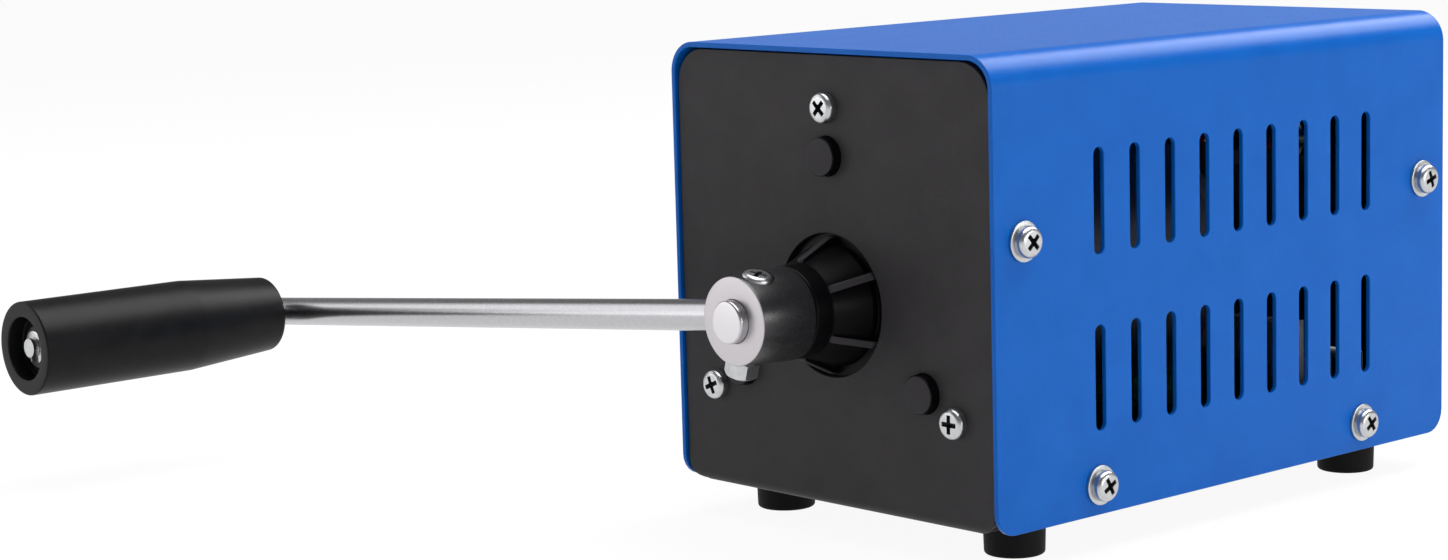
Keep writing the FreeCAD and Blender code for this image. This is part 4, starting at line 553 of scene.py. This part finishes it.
def bent_chassis():
    """Front plate, floor and rear wall from one strip, with flanges for the cover's screws."""
    low, high = CHASSIS_LOW, CHASSIS_HIGH
    front, back, top, floor = low[1], high[1], high[2], low[2]
    path = fold_path([(front, top), (front, floor), (back, floor), (back, top)],
                     [(front + SHEET, top), (front + SHEET, floor + SHEET), (back - SHEET, floor + SHEET),
                      (back - SHEET, top)], CHASSIS_BEND, SHEET)
    length = path[0][-1]
    half = high[0]
    notch = half - PLATE_LOW_CORNER
    widens = length / 2 + front + NOTCH_LENGTH
    foot = top - floor
    quarter = [(0, half, PLATE_TOP_CORNER), (foot, half, PLATE_LOW_CORNER), (foot, notch, 0),
               (widens, notch, 0), (widens, half, 0)]
    edge = quarter + [(length - s, t, r) for s, t, r in reversed(quarter)]
    edge = np.array(edge + [(s, -t, r) for s, t, r in reversed(edge)])
    loops = [fillet(edge[:, :2], edge[:, 2], 10)]

    def at_back(x, z):
        return length - top + z, x

    loops.append(circle((top - AXIS_Z, 0), PLATE_HOLE, 96))
    for radius, hole in ((EAR_CIRCLE, HOLE_RADIUS), (BOSS_CIRCLE, BOSS_HOLE)):
        loops += [circle((top - AXIS_Z - radius * math.sin(angle), radius * math.cos(angle)), hole)
                  for angle in TRIO]
    for x in (-1, 1):
        loops += [circle((length / 2 + y, x * FOOT[0]), HOLE_RADIUS) for y in (-FOOT[1], FOOT[1])]
        loops += [circle((length / 2 + y, x * STANDOFF_X), STANDOFF_HOLE) for y in STANDOFF_Y]
        loops.append(circle(at_back(x * POST[0], POST[1]), POST_HOLE))
    loops.append(circle(at_back(-OUTLET_X, SOCKET_Z), SOCKET_HOLE))
    loops.append(circle(at_back(0, SOCKET_Z), LAMP_HOLE))
    loops.append(rounded_box(at_back(OUTLET_X, USB_Z), USB_HOLE, USB_CORNER))
    shapes = [folded(loops, path, SHEET, (2, 0, 1))]
    for side in (-1, 1):
        for end in (-1, 1):
            high_place = (end * (back - HIGH_FLANGE_INSET), HIGH_SCREW[1])
            shapes.append(flange(side, high_place, HIGH_FLANGE, (end * HIGH_SCREW[0], HIGH_SCREW[1])))
            low_place = (end * LOW_SCREW[0], floor + LOW_FLANGE_RISE)
            shapes.append(flange(side, low_place, LOW_FLANGE, (end * LOW_SCREW[0], LOW_SCREW[1])))
    finished("bent_chassis", join(*shapes), "housing", "chassis_paint", ["chassis"], even=True)


def flange(side, place, size, hole):
    """Upright flange inside the cover's wall, round its place (y, z), with its screw hole."""

    def upright(flat, depth):
        return np.column_stack([np.full(len(flat), side * (CHASSIS_HIGH[0] - depth)), flat])

    return sheet([rounded_box(place, size, FLANGE_CORNER), circle(hole, HOLE_RADIUS)], SHEET, upright)


# Fasteners


def dome_height(radius):
    """Top of a pan head: its height less the fall times (radius / head radius) squared."""
    return HEAD_HEIGHT - HEAD_FALL * (radius / HEAD_RADIUS) ** 2


def pan_head(length, steps=96):
    """Screw, and its marks: a domed pan head, a cross recess that narrows as it goes down, and a ridged
    thread of the length. The recess's walls and floor are marked for painted shade."""
    dome = HEAD_RADIUS - HEAD_ROUND
    arm = RECESS_WIDTH / 2
    tip = RECESS_REACH
    plus = fillet([(arm, arm), (arm, tip), (-arm, tip), (-arm, arm), (-tip, arm), (-tip, -arm), (-arm, -arm),
                   (-arm, -tip), (arm, -tip), (arm, -arm), (tip, -arm), (tip, arm)], 0.16, 5)
    rim = circle((0, 0), tip + 0.06, steps)
    flat, triangles = cut_flat([rim, plus])
    domed = np.column_stack([flat, dome_height(np.hypot(*flat.T))])
    top = domed, [tuple(face) for face in triangles.tolist()]
    outside = [(r, dome_height(r)) for r in (tip + 0.06, dome)]
    turn = np.linspace(0, math.pi / 2, 10)[1:]
    edge = dome_height(dome)
    outside += [(dome + HEAD_ROUND * math.sin(a), edge - HEAD_ROUND * (1 - math.cos(a))) for a in turn]
    outside += [(HEAD_RADIUS, 0.08), (HEAD_RADIUS - 0.08, 0.0), (SCREW_RADIUS, 0.0)]
    outside += ridged(0.2, length, -1)
    side = lathe(outside, steps)
    levels = ((0.96, HEAD_HEIGHT - 0.25), (0.85, HEAD_HEIGHT - 0.7), (0.5, HEAD_HEIGHT - RECESS_DEPTH),
              (0.0, HEAD_HEIGHT - RECESS_DEPTH))
    rings = [np.column_stack([plus, dome_height(np.hypot(*plus.T))])]
    rings += [np.column_stack([plus * share, np.full(len(plus), z)]) for share, z in levels]
    recess = np.concatenate(rings), grid_faces(len(rings), len(plus), wrap_columns=True)
    shape = join(top, side, recess)
    mark = np.zeros(len(shape[0]))
    # The recess below its top ring is marked, for painted shade
    mark[-len(recess[0]) + len(plus):] = 1.0
    return shape, mark


def ridged(start, length, direction, pitch=0.5):
    """Profile of a thread's ridges from start to the length, and the rounded end."""
    count = int((length - start) / pitch)
    rows = [(SCREW_RADIUS, direction * start)]
    for turn in range(count):
        at = start + turn * pitch
        rows.append((SCREW_RADIUS - 0.22, direction * (at + pitch * 0.5)))
        rows.append((SCREW_RADIUS, direction * (at + pitch)))
    return rows + [(SCREW_RADIUS - 0.3, direction * length), (0.0, direction * length)]


def many(parts):
    """One shape and its marks from several (shape, marks), each with its place, direction and spin."""
    shapes = [aim(shape, *place) for (shape, mark), place in parts]
    return join(*shapes), np.concatenate([mark for (shape, mark), place in parts])


def screws():
    """Pan-head screws of the cover and the front plate, and the cover's washers. Each screw is left at its
    own turn."""
    short = pan_head(COVER_SCREW_LENGTH)
    rounded = fillet([(HOLE_RADIUS, 0), (WASHER_RADIUS, 0), (WASHER_RADIUS, WASHER), (HOLE_RADIUS, WASHER)],
                     (0, 0.05, 0.16, 0.05), 4)
    washer = lathe(rounded, 96, closed=True)
    heads = []
    washers = []
    for side in (-1, 1):
        for y, z in COVER_HOLES:
            spin = 0.7 + 1.9 * y + 0.3 * z * side
            heads.append((short, ((side * (COVER_HIGH[0] + WASHER), y, z), (side, 0, 0), spin)))
            washers.append(aim(washer, (side * COVER_HIGH[0], y, z), (side, 0, 0)))
    shape, mark = many(heads)
    finished("cover_screw_set", shape, "housing", "zinc", ["cover_screws"], mark=mark)
    finished("cover_washer_set", join(*washers), "housing", "zinc", ["cover_washers"])
    long = pan_head(EAR_SCREW_LENGTH)
    ears = [(long, (ring_place(EAR_CIRCLE, angle, PLATE_Y), (0, -1, 0), 0.35 + 1.3 * angle))
            for angle in TRIO]
    shape, mark = many(ears)
    finished("front_screw_set", shape, "housing", "zinc", ["front_screws"], mark=mark)


# Feet, gearbox nose and crank


def rubber_feet():
    """Four turned rubber feet, each with a hollow for its screw."""
    section = fillet([(FOOT_BORE, FOOT_HOLLOW_HEIGHT), (FOOT_HOLLOW, FOOT_HOLLOW_HEIGHT), (FOOT_HOLLOW, 0),
                      (FOOT_LOW_RADIUS, 0), (FOOT_RADIUS, FOOT_HEIGHT), (FOOT_BORE, FOOT_HEIGHT)],
                     (0, 0.2, 0.3, 0.6, 0.25, 0), 6)
    foot = lathe(section, 96, closed=True)
    feet = [aim(foot, (x * FOOT[0], y * FOOT[1], 0)) for x in (-1, 1) for y in (-1, 1)]
    finished("rubber_feet", join(*feet), "housing", "foot_rubber", ["feet"])


def rib(outline, angle):
    """Upright rib on the nose: the outline's (r, h) goes to r along the angle and h forwards."""
    out = np.array([math.cos(angle), 0, math.sin(angle)])
    beside = np.array([math.sin(angle), 0, -math.cos(angle)])

    def place(flat, depth):
        return flat[:, :1] * out + flat[:, 1:] * np.array([0, -1, 0]) + (RIB / 2 - depth) * beside \
            + np.array([0, 0, AXIS_Z])

    return sheet([outline], RIB, place, edge=0.3)


def gearbox_nose():
    """Cap of the gearbox: flange, nose with six ribs, three ears and three bosses whose faces show in the
    plate. Its rib crests and boss faces are marked for a painted highlight."""
    front, plate = -CAP_LOW[1], -PLATE_Y
    section = fillet([(CAP_RADIUS, CAP_BACK), (CAP_RADIUS, plate - SHEET), (NOSE_BASE, plate - SHEET),
                      (NOSE_BASE, plate), (NOSE_BODY, plate + NOSE_REACH), (NOSE_TIP, front),
                      (NOSE_BORE, front), (NOSE_BORE, CAP_BACK)],
                     (0.3, 0.5, 0.2, 1.2, 2.0, 0.5, 0.3, 0), 8)
    shapes = [aim(lathe(section, 144, closed=True), (0, 0, AXIS_Z), (0, -1, 0))]
    top = PLATE_HOLE - RIB_GAP
    outline = fillet([(RIB_ROOT, plate - SHEET), (top, plate - SHEET), (top, plate),
                      (NOSE_BODY + RIB_TIP, plate + NOSE_REACH), (RIB_ROOT, plate + NOSE_REACH)],
                     (0, 0, 1.5, 0.8, 0), 6)
    shapes += [rib(outline, math.radians(30 + 60 * number)) for number in range(6)]
    ear_back = CAP_BACK - EAR_LENGTH
    ear = lathe(fillet([(0, ear_back), (EAR_RADIUS, ear_back), (EAR_RADIUS, plate - SHEET),
                        (0, plate - SHEET)], (0, 0.4, 0.3, 0), 4), 72)
    face = plate + BOSS_PROUD
    boss = lathe(fillet([(0, plate - SHEET), (BOSS_RADIUS, plate - SHEET), (BOSS_RADIUS, face), (0, face)],
                        (0, 0, 0.35, 0), 6), 72)
    shapes += [aim(ear, ring_place(EAR_CIRCLE, angle, 0), (0, -1, 0)) for angle in TRIO]
    shapes += [aim(boss, ring_place(BOSS_CIRCLE, angle, 0), (0, -1, 0)) for angle in TRIO]
    shape = join(*shapes)
    off_axis = np.hypot(shape[0][:, 0], shape[0][:, 2] - AXIS_Z)
    # Boss faces are marked for a painted highlight, lighter than their shaded side walls
    mark = np.where((shape[0][:, 1] < -face + 0.03) & (off_axis > BOSS_CIRCLE / 2), 1.0, 0.0)
    first_rib = len(shapes[0][0])
    count = len(shapes[1][0])
    layer = count // (2 * (RIM_STEPS + 1))
    # Rib rims are marked for a painted highlight; the ribs' two side faces stay unmarked
    painted_crest = np.full(count, RIB_PAINTED_SHEEN)
    painted_crest[:layer] = 0.0
    painted_crest[-layer:] = 0.0
    mark[first_rib:first_rib + 6 * count] = np.tile(painted_crest, 6)
    finished("gearbox_nose", shape, "housing", "nose_plastic", ["gearbox_cap"], mark=mark)


def drilled_collar():
    """Black collar: a slightly tapering side with flat-bottomed seats for the bolt's head and nut, and a bare
    front face. On the side's flat pattern (angle, h) a seat of radius R round the place (a0, h0) is
    (a0 + asin(R cos b / r), h0 + R sin b)."""
    front, back = -COLLAR_LOW[1], -COLLAR_HIGH[1]
    fall = (COLLAR_HIGH[0] - COLLAR_FRONT) / (front - back)
    edge = 0.3
    low, high = back + edge, front - edge
    count = 144

    def radius(h):
        return COLLAR_HIGH[0] - fall * (h - back)

    stations = np.linspace(0, 2 * math.pi, count + 1)
    loops = [np.array([(0, low), (2 * math.pi, low), (2 * math.pi, high), (0, high)])]
    seats = ((math.pi / 2 - BOLT_TILT, HEAD_RADIUS + 0.15, BOLT_SEAT),
             (1.5 * math.pi - BOLT_TILT, NUT_FLATS / math.sqrt(3) + 0.15, NUT_SEAT))
    for angle, hole, depth in seats:
        b = np.linspace(0, 2 * math.pi, 72, endpoint=False)
        h = -BOLT_Y + hole * np.sin(b)
        loops.append(np.stack([angle + np.arcsin(hole * np.cos(b) / radius(h)), h], -1))
    flat, triangles = cut_flat(loops, stations[1:-1])
    at, h = flat.T
    side = np.stack([radius(h) * np.cos(at), radius(h) * np.sin(at), h], -1)
    shapes = [(side, [tuple(face) for face in triangles.tolist()])]
    rim = rim_edges(triangles)
    for angle, hole, depth in seats:
        near = np.hypot((flat[:, 0] - angle) * COLLAR_HIGH[0], flat[:, 1] + BOLT_Y) < hole * 1.1
        out = np.array([math.cos(angle), math.sin(angle), 0])
        sunk = side + (depth - side @ out)[:, None] * out
        middle = depth * out + np.array([0, 0, -BOLT_Y])
        walls = [(a, b, b + len(side), a + len(side)) for a, b in rim[near[rim].all(1)].tolist()]
        seat = [(b, a, 2 * len(side)) for _, _, a, b in walls]
        shapes.append((np.concatenate([side, sunk, [middle]]), walls + seat))
    turn = np.linspace(0, math.pi / 2, 6)
    ahead = np.stack([radius(high) - edge * (1 - np.cos(turn)), high + edge * np.sin(turn)], -1)
    behind = np.stack([radius(low) - edge * (1 - np.cos(turn)), low - edge * np.sin(turn)], -1)
    bore = [(SHAFT_RADIUS + 0.15, front), (SHAFT_RADIUS, front - 0.15), (SHAFT_RADIUS, back)]
    shapes.append(lathe(np.concatenate([ahead, bore, behind[::-1]]), count))
    shape = aim(join(*shapes), (0, 0, AXIS_Z), (0, -1, 0))
    mark = np.where(shape[0][:, 1] < -front + 0.12, 1.0, 0.0)
    finished("drilled_collar", shape, "crank", "collar_black", ["crank_collar"], mark=mark)


def hex_nut(steps=144):
    """Nut about Z: at angle a its wall is half the flats over the cosine of the angle from the nearest flat's
    middle, cut near both ends by a cone at 30 degrees."""
    angles = np.linspace(0, 2 * math.pi, steps, endpoint=False)
    wall = NUT_FLATS / 2 / np.cos((angles + math.pi / 6) % (math.pi / 3) - math.pi / 6)
    ends = np.linspace(0, 0.4, 7)
    levels = np.concatenate([ends, NUT_HEIGHT - ends[::-1]])
    cone = NUT_FLATS / 2 - 0.1 + np.minimum(levels, NUT_HEIGHT - levels) / math.tan(math.radians(30))
    rows = np.minimum(wall[None], cone[:, None])
    rings = [np.full(steps, SCREW_RADIUS + 0.05), np.full(steps, SCREW_RADIUS + 0.3)]
    radius = np.vstack([rings, rows, rings[::-1]])
    height = np.concatenate([[0.25, 0.0], levels, [NUT_HEIGHT, NUT_HEIGHT - 0.25]])[:, None]
    points = np.stack([radius * np.cos(angles), radius * np.sin(angles), height + 0 * radius], -1)
    return points.reshape(-1, 3), grid_faces(len(radius), steps, wrap_rows=True, wrap_columns=True)


def crank_arm():
    """Shaft, the bolt and nut across it, and the round rod."""
    back, front = -SHAFT_HIGH[1], -SHAFT_LOW[1]
    section = fillet([(0, back), (SHAFT_RADIUS, back), (SHAFT_RADIUS, front), (0, front)],
                     (0, 0.3, 0.5, 0), 8)
    shaft = aim(lathe(section, 144), (0, 0, AXIS_Z), (0, -1, 0))
    # The shaft's end face is marked: rougher as faced, and lighter as a painted highlight
    mark = np.where(shaft[0][:, 1] < SHAFT_LOW[1] + 0.1, 1.0, 0.0)
    finished("turned_shaft", shaft, "crank", "polished_steel", ["crank_shaft"], mark=mark)
    up = np.array([math.sin(BOLT_TILT), 0, math.cos(BOLT_TILT)])
    centre = np.array([0, BOLT_Y, AXIS_Z])
    bolt, mark = pan_head(BOLT_SEAT + NUT_SEAT + NUT_HEIGHT + BOLT_TAIL)
    bolt = aim(bolt, centre + BOLT_SEAT * up, up, 0.5)
    nut = aim(hex_nut(), centre - NUT_SEAT * up, -up, NUT_SPIN)
    finished("cross_bolt", bolt, "crank", "zinc", ["crank_bolt"], mark=mark)
    finished("cross_nut", nut, "crank", "zinc", ["crank_nut"], smooth=20.0)
    along = (-math.cos(ROD_TILT), 0, -math.sin(ROD_TILT))
    start = SHAFT_RADIUS - ROD_SINK
    section = fillet([(0, start), (ROD_RADIUS, start), (ROD_RADIUS, ROD_END), (0, ROD_END)],
                     (0, 0, 0.4, 0), 6)
    rod = aim(lathe(section, 144), (0, ROD_Y, AXIS_Z), along)
    finished("round_rod", rod, "crank", "polished_steel", ["crank_rod"])


def turned_grip():
    """Tapering grip with rounded ends, a bore for its spindle and a recess in its front end."""
    small, big = -GRIP_HIGH[1], -GRIP_LOW[1]
    knee, along = GRIP_KNEE
    recess, deep = GRIP_RECESS
    section = fillet([(GRIP_BORE, small), (GRIP_SMALL, small), (knee, small + along), (GRIP_BIG, big),
                      (recess, big), (recess, big - deep), (GRIP_BORE, big - deep)],
                     (0, 1.3, 14.0, 0.45, 0.3, 0.3, 0), 10)
    grip = aim(lathe(section, 144, closed=True), (GRIP_X, 0, GRIP_Z), (0, -1, 0))
    finished("turned_grip", grip, "grip", "grip_plastic", ["grip"])


def soften(node, width):
    """Rounded edges on a CAD node, by modifiers alone."""
    piece = frame["nodes"][node]
    weld = piece.modifiers.new("weld", "WELD")
    weld.merge_threshold = 1e-6
    edge = piece.modifiers.new("edge", "BEVEL")
    edge.width = width * MM
    edge.segments = 2
    edge.limit_method = "ANGLE"
    edge.angle_limit = math.radians(35)
    even = piece.modifiers.new("even", "WEIGHTED_NORMAL")
    even.keep_sharp = False


slotted_cover()
bent_chassis()
screws()
rubber_feet()
gearbox_nose()
drilled_collar()
crank_arm()
turned_grip()
for node, width in (("post_bases", 0.3), ("red_post_cap", 0.25), ("black_post_cap", 0.25),
                    ("binding_posts", 0.12), ("dc_socket", 0.2), ("usb_shell", 0.08), ("usb_insert", 0.1),
                    ("grip_clip", 0.08), ("grip_washer", 0.08), ("grip_spindle", 0.15)):
    soften(node, width)


# Studio. The sky is white up to the horizon and grey above it; its light on matt surfaces is set apart.

OWN_WHITE = 0.93
SOFT_LIGHT = 0.42
SKY = [(0.0, "#FFFFFF"), (0.09, "#9C9C9C"), (0.35, "#747474"), (1.0, "#5A5A5A")]

floor_mesh = bpy.data.meshes.new("floor")
floor_mesh.from_pydata([(-6, -6, 0), (6, -6, 0), (6, 6, 0), (-6, 6, 0)], [], [(0, 1, 2, 3)])
floor = bpy.data.objects.new("floor", floor_mesh)
bpy.context.scene.collection.objects.link(floor)


def seen(tree):
    """1 for the rays that see the background: the camera's, those in reflections and those through glass."""
    rays = add(tree, "LightPath").outputs
    direct = add(tree, "Math", {0: rays["Is Camera Ray"], 1: rays["Is Glossy Ray"]}, operation="MAXIMUM")
    return add(tree, "Math", {0: direct.outputs["Value"], 1: rays["Is Transmission Ray"]},
               operation="MAXIMUM").outputs["Value"]


def studio_floor():
    """White floor. To the camera, in reflections and through glass it is nearly its own white, with the
    object's shadow left in."""
    material, tree = new_material("white floor")[:2]
    share = add(tree, "Math", {0: seen(tree), 1: OWN_WHITE}, operation="MULTIPLY").outputs["Value"]
    paint = add(tree, "BsdfDiffuse", {"Color": (0.86, 0.86, 0.86, 1)})
    white = add(tree, "Emission", {"Color": (1, 1, 1, 1), "Strength": 1.0})
    mixed = add(tree, "MixShader", {0: share, 1: paint.outputs["BSDF"], 2: white.outputs["Emission"]})
    add(tree, "OutputMaterial", {"Surface": mixed.outputs["Shader"]})
    return material


floor_mesh.materials.append(studio_floor())

world = bpy.data.worlds.new("studio")
bpy.context.scene.world = world
world.use_nodes = True
air = world.node_tree
air.nodes.clear()
way = add(air, "TexCoord").outputs["Generated"]
rise = add(air, "SeparateXYZ", {"Vector": way}).outputs["Z"]
backdrop = add(air, "ValToRGB", {"Fac": rise}, SKY).outputs["Color"]
soft = add(air, "Background", {"Color": (1, 1, 1, 1), "Strength": SOFT_LIGHT}).outputs["Background"]
white = add(air, "Background", {"Color": backdrop, "Strength": 1.0}).outputs["Background"]
both = add(air, "MixShader", {0: seen(air), 1: soft, 2: white})
add(air, "OutputWorld", {"Surface": both.outputs["Shader"]})


def softbox(name, place, aim_at, width, height, power):
    """Square lamp at a place in metres, turned towards a point."""
    lamp = bpy.data.lights.new(name, "AREA")
    lamp.shape = "RECTANGLE"
    lamp.size = width
    lamp.size_y = height
    lamp.energy = power
    holder = bpy.data.objects.new(name, lamp)
    holder.location = place
    holder.rotation_mode = "QUATERNION"
    holder.rotation_quaternion = (Vector(aim_at) - Vector(place)).to_track_quat("-Z", "Y")
    bpy.context.scene.collection.objects.link(holder)


HEART = (0.03, 0.0, 0.05)
softbox("overhead", (0.1, 0.15, 0.9), HEART, 0.9, 0.9, 12.0)
softbox("right", (0.85, 0.22, 0.16), HEART, 0.75, 0.18, 2.0)
softbox("back", (0.11, 0.66, 0.6), HEART, 0.5, 0.4, 4.0)
softbox("front", (-0.7, -0.42, 0.48), HEART, 0.7, 0.5, 1.5)
softbox("left", (-0.6, -0.75, 0.16), HEART, 0.6, 0.26, 0.8)

# Camera, from the fit of the photograph: place, the way it looks, and its roll

FOCAL_PIXELS = 3114.06
PHOTO_WIDTH = 1448
CAMERA_PLACE = (414.51, -461.61, 132.95)
camera_data = bpy.data.cameras.new("camera")
camera_data.lens = 36 * FOCAL_PIXELS / PHOTO_WIDTH
camera_data.clip_start = 0.01
camera_data.clip_end = 50
camera = bpy.data.objects.new("camera", camera_data)
yaw, pitch, roll = np.radians((48.29, -8.2, -1.62))
forward = Vector((-math.sin(yaw) * math.cos(pitch), math.cos(yaw) * math.cos(pitch), math.sin(pitch)))
right = Vector((math.cos(yaw), math.sin(yaw), 0))
above = right.cross(forward)
across = right * math.cos(roll) + above * math.sin(roll)
upward = above * math.cos(roll) - right * math.sin(roll)
camera.matrix_world = Matrix.Translation(Vector(np.array(CAMERA_PLACE) * MM + MIDDLE)) \
    @ Matrix((across, upward, -forward)).transposed().to_4x4()
bpy.context.scene.collection.objects.link(camera)
bpy.context.scene.camera = camera
bpy.context.scene.view_settings.view_transform = "Standard"
